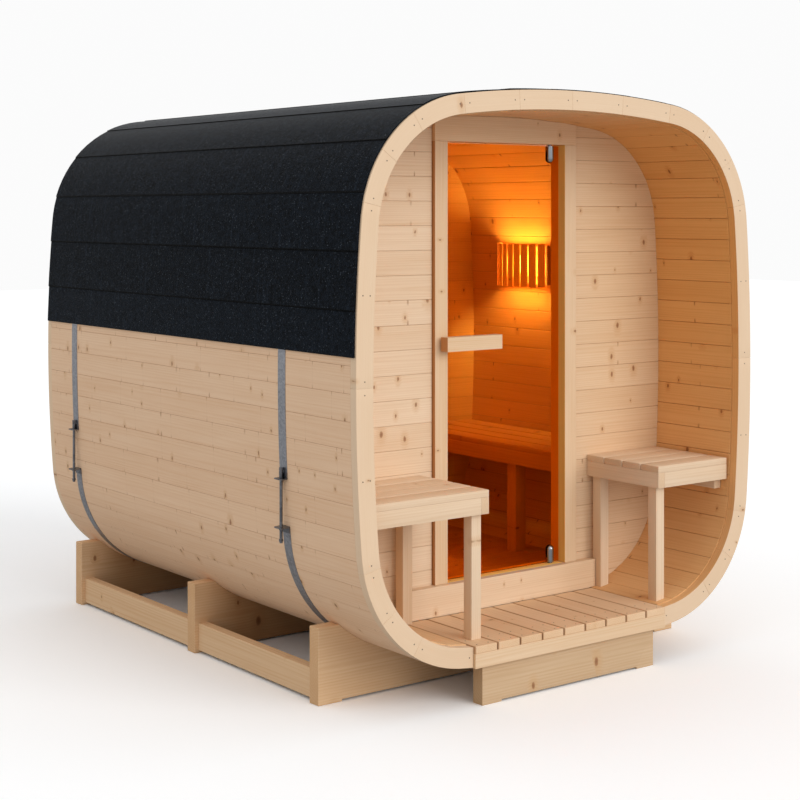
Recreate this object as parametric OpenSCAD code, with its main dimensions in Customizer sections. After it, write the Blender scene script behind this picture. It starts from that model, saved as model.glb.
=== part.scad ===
// Garden sauna: a rounded-square shell of timber staves on a timber cradle,
// with an open porch, two porch seats, a pivoting glass door, an open rear
// shelter, lapped roofing strips and two screw-tensioned steel hoops.
// Millimetres, Z up, the porch faces -Y, the ground is at Z = 0.

/* [Shell] */

// Overall width of the shell
shell_width = 2086; // [1740:1:2500]
// Overall height of the shell, underside to top
shell_height = 2200; // [1840:1:2640]
// Length of the shell along Y, with both end rings
shell_length = 2510; // [2100:1:3010]
// Height of the shell's underside above the ground
base_height = 125; // [100:1:150]
// Radius of the four rounded corners
corner_radius = 517; // [430:1:620]
// Radius of the slight bow of the two side walls
side_bow_radius = 7200; // [6000:10:8640]
// Radius of the slight bow of the roof and the underside
top_bow_radius = 4600; // [3900:10:5500]
// Thickness of the outer staves
stave_thickness = 45; // [38:0.5:54]
// Thickness of the whole wall, staves and lining
wall_thickness = 80; // [67:0.5:92]
// Radial width of the end rings
ring_width = 76; // [64:0.5:88]
// Thickness of the end rings along Y
ring_depth = 36; // [30:0.5:43]

/* [Porch and walls] */

// Depth of the porch, from the front ring's face to the front wall
porch_depth = 465; // [390:1:550]
// Thickness of the front and rear walls
end_wall = 45; // [38:0.5:54]
// Distance from the front ring's face to the rear wall's inner face
room_back = 1760; // [1500:1:1990]
// Height of the deck above the shell's underside
deck_height = 108; // [100:1:120]
// Thickness of the deck slats
deck_slat = 28; // [24:0.5:33]
// Gap between deck slats
deck_gap = 6; // [5:0.5:7]
// Height of the room's floor above the shell's underside
floor_height = 165; // [150:1:190]
// Thickness of the room's floor boards
floor_board = 28; // [24:0.5:33]
// Half of the length of the porch beam
beam_half = 505; // [430:1:600]
// How far the porch beam and slats stand in front of the ring
beam_proud = 12; // [10:0.5:14]

/* [Doorway] */

// Clear width of the doorway between the jambs
door_clear = 642; // [540:1:720]
// X of the doorway's middle
door_x = 54; // [45:1:64]
// Height of the header's underside above the shell's underside
door_head = 2012; // [1690:1:2030]
// Height of the sill's top above the shell's underside
sill_top = 228; // [200:1:270]
// Width of the jambs
jamb_width = 66; // [55:0.5:79]
// Depth of the jambs along Y
jamb_depth = 90; // [75:0.5:108]
// How far the jambs stand in front of the wall boards
jamb_proud = 18; // [15:0.5:21]
// How far the sill plank stands in front of the jambs
sill_proud = 22; // [18:0.5:26]

/* [Door] */

// Thickness of the glass leaf
glass_thickness = 8; // [7:0.5:10]
// Set-back of the glass behind the jambs' front
glass_setback = 35; // [30:0.5:42]
// Clearance round the glass leaf
leaf_gap = 6; // [5:0.5:7]
// Distance from the pivot to the glass's hinge-side edge
pivot_inset = 48; // [40:0.5:56]
// Width of the pivot clamps
clamp_width = 36; // [32:0.5:40]
// Height of the pivot clamps
clamp_height = 72; // [60:0.5:84]
// Diameter of the pivot pins
pin_diameter = 10.9; // [9:0.1:12]
// Length of the handle bar
handle_length = 288; // [240:1:340]
// Height of the handle bar's section
handle_height = 58; // [48:0.5:68]
// Depth of the handle bar's section
handle_depth = 42; // [35:0.5:50]
// Height of the handle above the shell's underside
handle_level = 1195; // [1000:1:1400]

/* [Seats and bench] */

// Height of the porch seats above the shell's underside
seat_height = 675; // [560:1:800]
// X of the left seat's inner end
seat_left_x = -395; // [-470:1:-330]
// X of the right seat's inner end
seat_right_x = 520; // [435:1:620]
// Height of the seat aprons
seat_apron = 64; // [54:0.5:77]
// Thickness of seat and bench slats
seat_slat = 27; // [23:0.5:32]
// Gap between seat slats
seat_gap = 8; // [7:0.5:10]
// Side of the square seat legs
leg_size = 47; // [40:0.5:56]
// Height of the bench above the shell's underside
bench_height = 665; // [560:1:790]
// X of the bench's front edge
bench_x = 510; // [430:1:600]

/* [Lamp] */

// Width of the lamp's slatted shade along the wall
lamp_width = 330; // [280:1:390]
// Height of the lamp's shade
lamp_height = 208; // [180:1:260]
// How far the shade stands out from its back board
lamp_depth = 92; // [90:1:125]
// Height of the shade's lower end above the shell's underside
lamp_level = 1362; // [1200:1:1450]
// Distance from the front ring's face to the lamp's middle
lamp_station = 1342; // [1200:1:1450]

/* [Cradle] */

// Half of the length of the cradle boards
cradle_half = 950; // [800:1:1100]
// Thickness of the cradle boards
cradle_board = 60; // [50:0.5:72]
// Height of the cradle boards above the ground
cradle_height = 292; // [250:1:345]
// Height of the relief between the boards' feet
foot_relief = 8; // [6:0.5:10]
// Height of the cradle rails
rail_height = 113; // [94:0.5:135]
// Thickness of the cradle rails
rail_board = 45; // [38:0.5:54]
// Height of the rails above the ground
rail_lift = 12; // [10:0.5:14]
// Side of the corner cleats
cleat_size = 38; // [32:0.5:45]

/* [Hoops and roofing] */

// Width of the steel hoops
hoop_width = 50; // [42:0.5:60]
// Thickness of the steel hoops
hoop_thickness = 2; // [1.5:0.1:2.4]
// Distance from the front ring's face to the front hoop
hoop_front_station = 479; // [400:1:560]
// Distance from the front ring's face to the rear hoop
hoop_rear_station = 2226; // [1840:1:2300]
// Height of the hoops' upper ends above the shell's underside
strap_high = 722; // [620:1:840]
// Height of the hoops' lower ends above the shell's underside
strap_low = 545; // [480:1:580]
// Diameter of the tension screws
screw_diameter = 12; // [10:0.5:14]
// Thickness of the roofing strips at their lower edge
roofing_lap = 7.5; // [6.5:0.1:9]
// Thickness of the roofing strips at their upper edge
roofing_thin = 4.5; // [4:0.1:5]
// Height of the roofing's lower edges above the shell's underside
roofing_level = 1210; // [1110:1:1400]

/* [Hidden] */

// colours
timber = [0.86, 0.70, 0.50];
frame_timber = [0.80, 0.63, 0.43];
steel = [0.62, 0.63, 0.65];
felt = [0.10, 0.12, 0.15];
bronze_glass = [0.75, 0.55, 0.35, 0.5];
warm_light = [1, 0.9, 0.7];

// smoothness of the round parts
round_facets = 64;
small = 0.01;

// stations along Y
ring_front = beam_proud - (shell_length + beam_proud) / 2;
staves_front = ring_front + ring_depth;
wall_front = ring_front + porch_depth;
jamb_front = wall_front - jamb_proud;
jamb_back = jamb_front + jamb_depth;
wall_rear = ring_front + room_back;
ring_rear = ring_front + shell_length;
staves_rear = ring_rear - ring_depth;
cradle_stations = [ring_front + 372, ring_front + 1290, ring_front + 2345];

// heights
shell_middle = base_height + shell_height / 2;
deck_under = deck_height - deck_slat;
floor_under = floor_height - floor_board;
function up(height) = base_height + height;

// ---- outline of the shell ---------------------------------------------
// Bowed sides and top joined by corner arcs, in flat facets. A place along
// the outline counts facets anticlockwise from the middle of the right side.
side_facets = 3;
corner_facets = 12;
top_facets = 3;
quarter = side_facets + corner_facets + top_facets;
round = 4 * quarter;

side_centre = shell_width / 2 - side_bow_radius;
top_centre = shell_height / 2 - top_bow_radius;
side_reach = side_bow_radius - corner_radius;
top_reach = top_bow_radius - corner_radius;
centres_apart = norm([side_centre, top_centre]);
reach_along = (side_reach * side_reach - top_reach * top_reach + centres_apart * centres_apart)
  / (2 * centres_apart);
reach_across = sqrt(side_reach * side_reach - reach_along * reach_along);
toward_top = [-side_centre, top_centre] / centres_apart;
corner_centre = [
  side_centre + reach_along * toward_top[0] - reach_across * toward_top[1],
  reach_along * toward_top[1] + reach_across * toward_top[0]
];
side_angle = atan2(corner_centre[1], corner_centre[0] - side_centre);
top_angle = atan2(corner_centre[1] - top_centre, corner_centre[0]);

function arc_point(centre, radius, angle) = centre + radius * [cos(angle), sin(angle)];
function part_way(from, to, part) = from + (to - from) * part;
function quarter_point(inset, i) =
  i <= side_facets ?
    arc_point([side_centre, 0], side_bow_radius - inset, side_angle * i / side_facets) :
  i <= side_facets + corner_facets ?
    arc_point(corner_centre, corner_radius - inset,
      part_way(side_angle, top_angle, (i - side_facets) / corner_facets)) :
    arc_point([0, top_centre], top_bow_radius - inset,
      part_way(top_angle, 90, (i - side_facets - corner_facets) / top_facets));
function facet_point(inset, i) =
  let (
    k = ((i % round) + round) % round,
    turn = floor(k / quarter),
    step = k - turn * quarter,
    p = quarter_point(inset, turn % 2 == 0 ? step : quarter - step)
  )
  [turn == 1 || turn == 2 ? -p[0] : p[0], turn >= 2 ? -p[1] : p[1]];
function outline_point(inset, place) =
  let (i = floor(place), part = place - i)
  part < 1e-6 ? facet_point(inset, i)
    : part_way(facet_point(inset, i), facet_point(inset, i + 1), part);
function places(from, to) =
  concat([from], [for (i = [floor(from + 1e-6) + 1 : 1 : ceil(to - 1e-6) - 1]) i], [to]);
function raised(points) = [for (p = points) [p[0], p[1] + shell_middle]];
function outline(inset) = raised([for (i = [0 : round - 1]) facet_point(inset, i)]);
function band(from, to, outer, inner) =
  let (stops = places(from, to), last = len(stops) - 1)
  raised(concat(
    [for (place = stops) outline_point(outer, place)],
    [for (k = [last : -1 : 0]) outline_point(inner, stops[k])]));

// the place of a height on the right wall, so far inside its outer face
function place_at(height, inset) =
  let (
    rise = abs(height - shell_height / 2),
    i = max([for (k = [0 : quarter - 2]) quarter_point(inset, k)[1] <= rise ? k : 0]),
    low = quarter_point(inset, i)[1],
    high = quarter_point(inset, i + 1)[1],
    place = i + (rise - low) / (high - low)
  )
  height < shell_height / 2 ? -place : place;
function right_place(height) = place_at(height, 0);
function left_place(height) = 2 * quarter - right_place(height);
// X of the right wall at a height, so far inside its outer face
function wall_x(height, inset) = outline_point(inset, place_at(height, inset))[0];

// ---- shared shapes ----------------------------------------------------
// an outline drawn in X and Z, run along Y
module run(from_y, to_y) {
  translate([0, to_y, 0])
    rotate([90, 0, 0])
      linear_extrude(height = to_y - from_y)
        children();
}

module band_run(from, to, outer, inner, from_y, to_y) {
  run(from_y, to_y)
    polygon(band(from, to, outer, inner));
}

// a box between two opposite corners, in any order
module block(a, b) {
  low = [for (i = [0 : 2]) min(a[i], b[i])];
  high = [for (i = [0 : 2]) max(a[i], b[i])];
  translate(low)
    cube(high - low);
}

module panel(a, b) {
  low = [for (i = [0 : 1]) min(a[i], b[i])];
  high = [for (i = [0 : 1]) max(a[i], b[i])];
  translate(low)
    square(high - low);
}

// a box cut to the curve of the lining, for pieces fixed to the wall
module scribed_block(a, b) {
  run(min(a[1], b[1]), max(a[1], b[1]))
    intersection() {
      polygon(outline(wall_thickness));
      panel([a[0], a[2]], [b[0], b[2]]);
    }
}

// ---- shell ------------------------------------------------------------
// the lining stops beside the deck slats, and between its edges only the
// staves run on
lining_edge = beam_half + 4;

module under_floor() {
  intersection() {
    polygon(outline(stave_thickness));
    panel([-lining_edge, 0], [lining_edge, shell_middle]);
  }
}

module shell_segment(from, to) {
  color(timber)
    band_run(from, to, 0, wall_thickness, staves_front, staves_rear);
}

// the segments that reach under the floor leave room for its bearers
module lower_segment(from, to) {
  color(timber)
    run(staves_front, staves_rear)
      difference() {
        polygon(band(from, to, 0, wall_thickness));
        under_floor();
      }
}

module shell_floor() { lower_segment(3 * quarter - top_facets, 3 * quarter + top_facets); }
module shell_lower_left() { lower_segment(2 * quarter + side_facets, 3 * quarter - top_facets); }
module shell_lower_right() { lower_segment(3 * quarter + top_facets, 4 * quarter - side_facets); }
module shell_left() { shell_segment(2 * quarter - side_facets, 2 * quarter + side_facets); }
module shell_right() { shell_segment(-side_facets, side_facets); }
module shell_upper_left() { shell_segment(quarter + top_facets, 2 * quarter - side_facets); }
module shell_upper_right() { shell_segment(side_facets, quarter - top_facets); }
module shell_top() { shell_segment(quarter - top_facets, quarter + top_facets); }

// ---- end rings --------------------------------------------------------
module front_ring(turn) {
  color(timber)
    band_run(turn * quarter, (turn + 1) * quarter, 0, ring_width, ring_front, staves_front);
}

module rear_ring(turn) {
  color(timber)
    band_run(turn * quarter, (turn + 1) * quarter, 0, ring_width, staves_rear, ring_rear);
}

// the front ring's lower quarters stop at the porch beam
module cut_front_ring(turn) {
  difference() {
    front_ring(turn);
    block([-beam_half, ring_front - 1, 0], [beam_half, staves_front + 1, shell_middle / 2]);
  }
}

module front_ring_upper_right() { front_ring(0); }
module front_ring_upper_left() { front_ring(1); }
module front_ring_lower_left() { cut_front_ring(2); }
module front_ring_lower_right() { cut_front_ring(3); }
module rear_ring_upper_right() { rear_ring(0); }
module rear_ring_upper_left() { rear_ring(1); }
module rear_ring_lower_left() { rear_ring(2); }
module rear_ring_lower_right() { rear_ring(3); }

// ---- floors -----------------------------------------------------------
beam_under = beam_half * beam_half / (2 * top_bow_radius) - 3;
slat_count = 9;
slat_pitch = (2 * beam_half + deck_gap) / slat_count;
bearer_width = 45;
room_middle = (wall_front + wall_rear) / 2;
shelter_front = wall_rear + end_wall;
shelter_middle = (shelter_front + ring_rear) / 2;
deck_bearers = [
  staves_front + 20, wall_front - 70, wall_front,
  wall_rear, shelter_front + 40, shelter_middle - bearer_width / 2, staves_rear - 75
];
room_bearers = [jamb_back + 30, room_middle - bearer_width / 2, wall_rear - 75];

module porch_beam() {
  color(timber)
    block([-beam_half, ring_front - beam_proud, up(beam_under)], [beam_half, staves_front, up(deck_under)]);
}

// a joist cut to the curve of the staves
module bearer(station, top) {
  run(station, station + bearer_width)
    intersection() {
      under_floor();
      panel([-lining_edge, 0], [lining_edge, up(top)]);
    }
}

module floor_bearers() {
  color(frame_timber) {
    for (station = deck_bearers)
      bearer(station, deck_under);
    for (station = room_bearers)
      bearer(station, floor_under);
  }
}

module slats(from_y, to_y) {
  color(timber)
    for (i = [0 : slat_count - 1]) {
      left = i * slat_pitch - beam_half;
      block([left, from_y, up(deck_under)], [left + slat_pitch - deck_gap, to_y, up(deck_height)]);
    }
}

module deck_slats() { slats(ring_front - beam_proud, jamb_front - sill_proud - 2); }
module rear_deck() { slats(shelter_front + 2, staves_rear); }

module room_floor() {
  color(timber)
    scribed_block([-shell_width, jamb_back + 2, up(floor_under)],
      [shell_width, wall_rear - 1, up(floor_height)]);
}

// ---- walls and doorway ------------------------------------------------
door_left = door_x - door_clear / 2;
door_right = door_x + door_clear / 2;
frame_left = door_left - jamb_width;
frame_right = door_right + jamb_width;
sill_left = seat_left_x - 90;
sill_right = seat_right_x + 14;

// the whole section inside the lining, down to the bearers
module inside_section() {
  difference() {
    union() {
      polygon(outline(wall_thickness));
      under_floor();
    }
    panel([-lining_edge, 0], [lining_edge, up(deck_under)]);
  }
}

module front_wall(from_x, to_x) {
  color(timber)
    run(wall_front, wall_front + end_wall)
      intersection() {
        inside_section();
        panel([from_x, 0], [to_x, 2 * shell_height]);
      }
}

module front_wall_left() { front_wall(-shell_width, frame_left); }
module front_wall_right() { front_wall(frame_right, shell_width); }

module door_header() {
  color(timber)
    scribed_block([frame_left, jamb_front, up(door_head)], [frame_right, jamb_back, up(shell_height)]);
}

module door_jambs() {
  color(timber) {
    block([frame_left, jamb_front, up(sill_top)], [door_left, jamb_back, up(door_head)]);
    block([door_right, jamb_front, up(sill_top)], [frame_right, jamb_back, up(door_head)]);
  }
}

// threshold between the walls, and the plank in front of both
module door_sill() {
  color(timber)
    union() {
      block([frame_left, jamb_front, up(deck_under)], [frame_right, jamb_back, up(sill_top)]);
      run(jamb_front - sill_proud, wall_front)
        intersection() {
          polygon(outline(wall_thickness));
          panel([sill_left, up(deck_height)], [sill_right, up(sill_top)]);
        }
    }
}

module rear_wall() {
  color(timber)
    run(wall_rear, wall_rear + end_wall)
      inside_section();
}

// ---- door -------------------------------------------------------------
glass_front = jamb_front + glass_setback;
glass_middle = glass_front + glass_thickness / 2;
glass_left = door_left + leaf_gap;
glass_right = door_right - leaf_gap;
glass_low = up(sill_top) + leaf_gap;
glass_high = up(door_head) - leaf_gap;
pivot_x = glass_right - pivot_inset;
clamp_radius = clamp_width / 2;
clamp_sole = 20;
pin_reach = 12;
pin_clearance = 0.05;
socket_diameter = 22;
socket_height = leaf_gap / 2;

module glass_notch(from_z, to_z) {
  block([pivot_x - clamp_radius - 0.3, glass_front - 1, from_z],
    [pivot_x + clamp_radius + 0.3, glass_front + glass_thickness + 1, to_z]);
}

module door_glass() {
  color(bronze_glass)
    difference() {
      block([glass_left, glass_front, glass_low], [glass_right, glass_front + glass_thickness, glass_high]);
      glass_notch(glass_low - 1, glass_low + clamp_sole + 0.3);
      glass_notch(glass_high - clamp_sole - 0.3, glass_high + 1);
    }
}

// a capsule over both faces of the glass, solid below its notch, with the
// pivot's bore in its flat end
module clamp() {
  difference() {
    union() {
      cylinder(r = clamp_radius, h = clamp_height - clamp_radius, $fn = round_facets);
      translate([0, 0, clamp_height - clamp_radius])
        sphere(r = clamp_radius, $fn = round_facets);
    }
    translate([-clamp_radius - 1, -glass_thickness / 2, clamp_sole])
      cube([clamp_width + 2, glass_thickness, clamp_height]);
    translate([0, 0, -1])
      cylinder(r = pin_diameter / 2 + pin_clearance, h = pin_reach, $fn = round_facets);
  }
}

module door_clamps() {
  color(steel) {
    translate([pivot_x, glass_middle, glass_low])
      clamp();
    translate([pivot_x, glass_middle, glass_high])
      mirror([0, 0, 1])
        clamp();
  }
}

// a flange and its pin, standing up from the sill and down from the header
module pivot_socket() {
  union() {
    cylinder(d = socket_diameter, h = socket_height, $fn = round_facets);
    cylinder(d = pin_diameter, h = pin_reach, $fn = round_facets);
  }
}

module pivot_sockets() {
  color(steel) {
    translate([pivot_x, glass_middle, up(sill_top)])
      pivot_socket();
    translate([pivot_x, glass_middle, up(door_head)])
      mirror([0, 0, 1])
        pivot_socket();
  }
}

handle_left = door_left - 43;
handle_back = jamb_front - 10;
handle_post = 22;
handle_posts = [glass_left + 60, glass_left + 190];

module door_handle() {
  color(timber)
    union() {
      block([handle_left, handle_back - handle_depth, up(handle_level) - handle_height / 2],
        [handle_left + handle_length, handle_back, up(handle_level) + handle_height / 2]);
      for (x = handle_posts)
        translate([x, glass_front, up(handle_level)])
          rotate([90, 0, 0])
            cylinder(d = handle_post, h = glass_front - handle_back, $fn = round_facets);
    }
}

// ---- porch seats ------------------------------------------------------
seat_front = ring_front + 40;
seat_back = wall_front - 2;
seat_outer = wall_x(seat_height - 110, wall_thickness) - 6;
seat_slats = 4;
apron_board = 38;
apron_top = up(seat_height - seat_slat);
apron_under = apron_top - seat_apron;
ledger_board = 34;

module seat_top(inner_x, outer_x) {
  pitch = (seat_back - seat_front + seat_gap) / seat_slats;
  color(timber)
    for (i = [0 : seat_slats - 1])
      block([inner_x, seat_front + i * pitch, apron_top],
        [outer_x, seat_front + (i + 1) * pitch - seat_gap, up(seat_height)]);
}

// aprons on three sides, two legs and a ledger on the wall; side is 1 for
// the right seat and -1 for the left one
module seat_frame(side, inner_x, back_leg_inset) {
  outer_x = side * seat_outer;
  color(frame_timber)
    union() {
      block([inner_x, seat_front, apron_under], [outer_x, seat_front + apron_board, apron_top]);
      block([inner_x, seat_back - apron_board, apron_under], [outer_x, seat_back, apron_top]);
      block([inner_x, seat_front, apron_under], [inner_x + side * apron_board, seat_back, apron_top]);
      scribed_block([outer_x - side * ledger_board, seat_front + 30, apron_under - 44],
        [side * shell_width, seat_back, apron_under + 20]);
      seat_leg(inner_x + side * 16, side, seat_front + 28);
      seat_leg(inner_x + side * back_leg_inset, side, seat_back - 20 - leg_size);
    }
}

// a leg on the deck, or beside it with its foot cut to the lining
module seat_leg(x, side, y) {
  foot = abs(x) < lining_edge ? deck_height : 0;
  scribed_block([x, y, up(foot)], [x + side * leg_size, y + leg_size, apron_under + 10]);
}

module seat_left_top() { seat_top(-seat_outer, seat_left_x); }
module seat_right_top() { seat_top(seat_right_x, seat_outer); }
module seat_left_frame() { seat_frame(-1, seat_left_x, 92); }
module seat_right_frame() { seat_frame(1, seat_right_x, 16); }

// ---- bench ------------------------------------------------------------
bench_front = wall_front + end_wall + 1;
bench_back = wall_rear - 1;
bench_middle = (bench_front + bench_back) / 2 - 140;
bench_outer = wall_x(bench_height - 100, wall_thickness) - 4;
bench_slats = 4;
bench_gap = 10;
bench_apron = 63;
bench_beam = 45;
bench_post = 60;
bench_frame_top = up(bench_height - seat_slat);
bench_frame_under = bench_frame_top - bench_apron;

module bench_top() {
  pitch = (bench_outer - bench_x + bench_gap) / bench_slats;
  color(timber)
    for (i = [0 : bench_slats - 1])
      block([bench_x + i * pitch, bench_front, bench_frame_top],
        [bench_x + (i + 1) * pitch - bench_gap, bench_back, up(bench_height)]);
}

module bench_frame() {
  color(frame_timber)
    union() {
      block([bench_x, bench_front, bench_frame_under], [bench_x + 40, bench_back, bench_frame_top]);
      for (y = [bench_front, bench_middle - bench_beam / 2, bench_back - bench_beam])
        block([bench_x + small, y, bench_frame_under], [bench_outer, y + bench_beam, bench_frame_top]);
      scribed_block([bench_outer - 30, bench_front, bench_frame_under + 4],
        [shell_width, bench_back, bench_frame_top]);
      block([bench_x + 30, bench_middle - bench_beam / 2, up(floor_height)],
        [bench_x + 30 + bench_post, bench_middle + bench_beam / 2, bench_frame_top]);
    }
}

// ---- lamp -------------------------------------------------------------
lamp_y = ring_front + lamp_station;
lamp_board = 22;
lamp_face = wall_x(lamp_level + lamp_height / 2, wall_thickness) - lamp_board;
lamp_slats = 8;
lamp_slat_width = 38;
lamp_slat_thickness = 12;
lamp_step = 21;
rim_steps = 12;
rim_height = 18;
bulb_diameter = 56;

// a point on the shade's half oval, so far inside its outer face
function oval(inset, angle) =
  [-(lamp_depth - inset) * cos(angle), (lamp_width / 2 - inset) * sin(angle)];

module lamp_back() {
  color(frame_timber)
    scribed_block([lamp_face, lamp_y - lamp_width / 2 - 10, up(lamp_level) + 10],
      [shell_width, lamp_y + lamp_width / 2 + 10, up(lamp_level + lamp_height) - 10]);
}

module lamp_rim(z) {
  inner = 2 * lamp_slat_thickness + 2;
  angles = [for (k = [0 : rim_steps]) 180 * k / rim_steps - 90];
  translate([lamp_face, lamp_y, z])
    linear_extrude(height = rim_height)
      polygon(concat(
        [for (angle = angles) oval(lamp_slat_thickness, angle)],
        [for (k = [rim_steps : -1 : 0]) oval(inner, angles[k])]));
}

// upright slats on two half-oval rims
module lamp_shade() {
  color(timber)
    union() {
      lamp_rim(up(lamp_level) + 40);
      lamp_rim(up(lamp_level + lamp_height) - 40 - rim_height);
      for (k = [0 : lamp_slats - 1]) {
        angle = lamp_step * (k - (lamp_slats - 1) / 2);
        place = oval(lamp_slat_thickness, angle);
        turn = atan2((lamp_depth - lamp_slat_thickness) * sin(angle),
          -(lamp_width / 2 - lamp_slat_thickness) * cos(angle));
        translate([lamp_face + place[0], lamp_y + place[1], up(lamp_level)])
          rotate([0, 0, turn])
            translate([-3, -lamp_slat_width / 2, 0])
              cube([lamp_slat_thickness, lamp_slat_width, lamp_height]);
      }
    }
}

// the bulb's glass on a short arm from the back board
module lamp_bulb() {
  arm = 46;
  color(warm_light)
    translate([lamp_face - arm, lamp_y, up(lamp_level) + 70])
      union() {
        cylinder(d = bulb_diameter, h = 80, $fn = round_facets);
        translate([0, -10, 30])
          cube([arm, 20, 20]);
      }
}

// ---- cradle -----------------------------------------------------------
// a foot board hollowed to the shell's curve, with notches for the hoops
module cradle_shape() {
  foot = 110;
  difference() {
    panel([-cradle_half, 0], [cradle_half, cradle_height]);
    polygon(outline(0));
    panel([foot - cradle_half, -1], [cradle_half - foot, foot_relief]);
  }
}

module hoop_notch(station) {
  reach = hoop_width / 2 + 2;
  run(ring_front + station - reach, ring_front + station + reach)
    polygon(outline(-hoop_thickness - 1));
}

module foot_board(station) {
  color(frame_timber)
    difference() {
      run(station, station + cradle_board)
        cradle_shape();
      hoop_notch(hoop_front_station);
      hoop_notch(hoop_rear_station);
    }
}

module cradle_board_front() { foot_board(cradle_stations[0]); }
module cradle_board_middle() { foot_board(cradle_stations[1]); }
module cradle_board_rear() { foot_board(cradle_stations[2]); }

rail_inner = cradle_half - 18 - rail_board;

module cradle_rails() {
  color(frame_timber)
    for (bay = [0, 1], side = [-1, 1])
      block([side * rail_inner, cradle_stations[bay] + cradle_board, rail_lift],
        [side * (rail_inner + rail_board), cradle_stations[bay + 1], rail_lift + rail_height]);
}

// square blocks in the corners between rails and boards
module cradle_cleats() {
  color(frame_timber)
    for (bay = [0, 1], side = [-1, 1]) {
      front = cradle_stations[bay] + cradle_board;
      back = cradle_stations[bay + 1];
      for (span = [[front, front + cleat_size], [back - cleat_size, back]])
        block([side * rail_inner, span[0], rail_lift],
          [side * (rail_inner - cleat_size), span[1], rail_lift + rail_height - 20]);
    }
}

// the board under the porch beam, behind the ring's face
module porch_support() {
  half = 455;
  foot = 95;
  color(frame_timber)
    difference() {
      block([-half, ring_front + 8, 0], [half, ring_front + 62, up(beam_under)]);
      run(staves_front, ring_front + 100)
        polygon(outline(0));
      block([foot - half, ring_front, -1], [half - foot, ring_front + 100, foot_relief]);
    }
}

// ---- hoops ------------------------------------------------------------
shelf_thickness = 5;
shelf_margin = 13;
doubler_height = 26;
doubler_thickness = 4;
sleeve_diameter = 15;
sleeve_height = 30;
nut_height = 9;
nut_diameter = 18;
nut_clearance = 0.5;
screw_tail = 58;

// a strap over the roof and one under the floor, open at both sides
module hoop(station) {
  front = ring_front + station - hoop_width / 2;
  color(steel) {
    band_run(right_place(strap_high), left_place(strap_high), 0, -hoop_thickness,
      front, front + hoop_width);
    band_run(left_place(strap_low), round + right_place(strap_low), 0, -hoop_thickness,
      front, front + hoop_width);
  }
}

module hoop_front() { hoop(hoop_front_station); }
module hoop_rear() { hoop(hoop_rear_station); }

// a plate on the outside of a strap between two heights
module strap_plate(low, height, depth, station) {
  front = ring_front + station - hoop_width / 2;
  band_run(right_place(low), right_place(low + height),
    -hoop_thickness - depth, -hoop_thickness, front, front + hoop_width);
}

// a shelf on each strap's end with a doubler against the strap, and the
// screw through both shelves with its sleeve and nuts
module tensioner(station) {
  low_shelf = strap_low - shelf_thickness;
  high_shelf_top = strap_high + shelf_thickness;
  screw_low = low_shelf - screw_tail;
  sleeve_top = high_shelf_top + sleeve_height;
  // the screw stands clear of the straps' middle and of the wall at its top nut
  screw_x = hoop_thickness + max(
    wall_x((strap_high + strap_low) / 2, 0) + shelf_margin + doubler_thickness,
    wall_x(sleeve_top + nut_height, 0) + nut_diameter / 2 + nut_clearance);
  union() {
    for (shelf = [low_shelf, strap_high])
      strap_plate(shelf, shelf_thickness, screw_x + shelf_margin - wall_x(shelf, 0), station);
    strap_plate(strap_high, doubler_height, doubler_thickness, station);
    strap_plate(strap_low - doubler_height, doubler_height, doubler_thickness, station);
    translate([screw_x, ring_front + station, up(0)]) {
      translate([0, 0, screw_low])
        cylinder(d = screw_diameter, h = sleeve_top - screw_low, $fn = round_facets / 2);
      translate([0, 0, high_shelf_top])
        cylinder(d = sleeve_diameter, h = sleeve_height, $fn = round_facets / 2);
      for (low = [sleeve_top, low_shelf - nut_height, screw_low + 6])
        translate([0, 0, low])
          cylinder(d = nut_diameter, h = nut_height, $fn = 6);
    }
  }
}

module tensioners_right() {
  color(steel) {
    tensioner(hoop_front_station);
    tensioner(hoop_rear_station);
  }
}

module tensioners_left() {
  mirror([1, 0, 0])
    tensioners_right();
}

// ---- roofing ----------------------------------------------------------
// lapped strips of equal exposure, each thick at its lower edge and thin
// where the next one laps it, with a level ridge strip over both sides
strip_count = 17;
ridge_strip = (strip_count - 1) / 2;
// the strips lie this far off the staves
strip_bed = 0.02;
strip_gap = 8;
function facet_length(i) = norm(quarter_point(0, i + 1) - quarter_point(0, i));
side_length = facet_length(0);
corner_length = facet_length(side_facets);
top_length = facet_length(side_facets + corner_facets);
first_place = right_place(roofing_level);
// girth from the lower right edge of the roofing to the roof's middle
girth_side = (side_facets - first_place) * side_length;
girth_corner = corner_facets * corner_length;
half_girth = girth_side + girth_corner + top_facets * top_length;
// the place so far up along the girth, mirrored past the roof's middle
function girth_place(girth) =
  girth > half_girth ? 2 * quarter - girth_place(2 * half_girth - girth) :
  girth <= girth_side ? first_place + girth / side_length :
  girth <= girth_side + girth_corner ? side_facets + (girth - girth_side) / corner_length :
    side_facets + corner_facets + (girth - girth_side - girth_corner) / top_length;
function strip_place(k) = girth_place(2 * half_girth * k / strip_count);
function strip_points(k) =
  let (from = strip_place(k), to = strip_place(k + 1))
  [for (place = places(from, to))
    let (
      along = (place - from) / (to - from),
      lapped = k < ridge_strip ? along : k > ridge_strip ? 1 - along : 0
    )
    outline_point(-part_way(roofing_lap, roofing_thin, lapped), place)];

module strips(first, last) {
  under = places(strip_place(first), strip_place(last));
  color(felt)
    difference() {
      run(ring_front + strip_gap, ring_rear - strip_gap)
        polygon(raised(concat(
          [for (k = [first : last - 1]) each strip_points(k)],
          [for (k = [len(under) - 1 : -1 : 0]) outline_point(-strip_bed, under[k])])));
      for (station = [hoop_front_station, hoop_rear_station])
        run(ring_front + station - hoop_width / 2 - 1, ring_front + station + hoop_width / 2 + 1)
          polygon(outline(-hoop_thickness - 0.3));
    }
}

module roofing_right() { strips(0, 6); }
module roofing_top() { strips(6, 11); }
module roofing_left() { strips(11, strip_count); }

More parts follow.
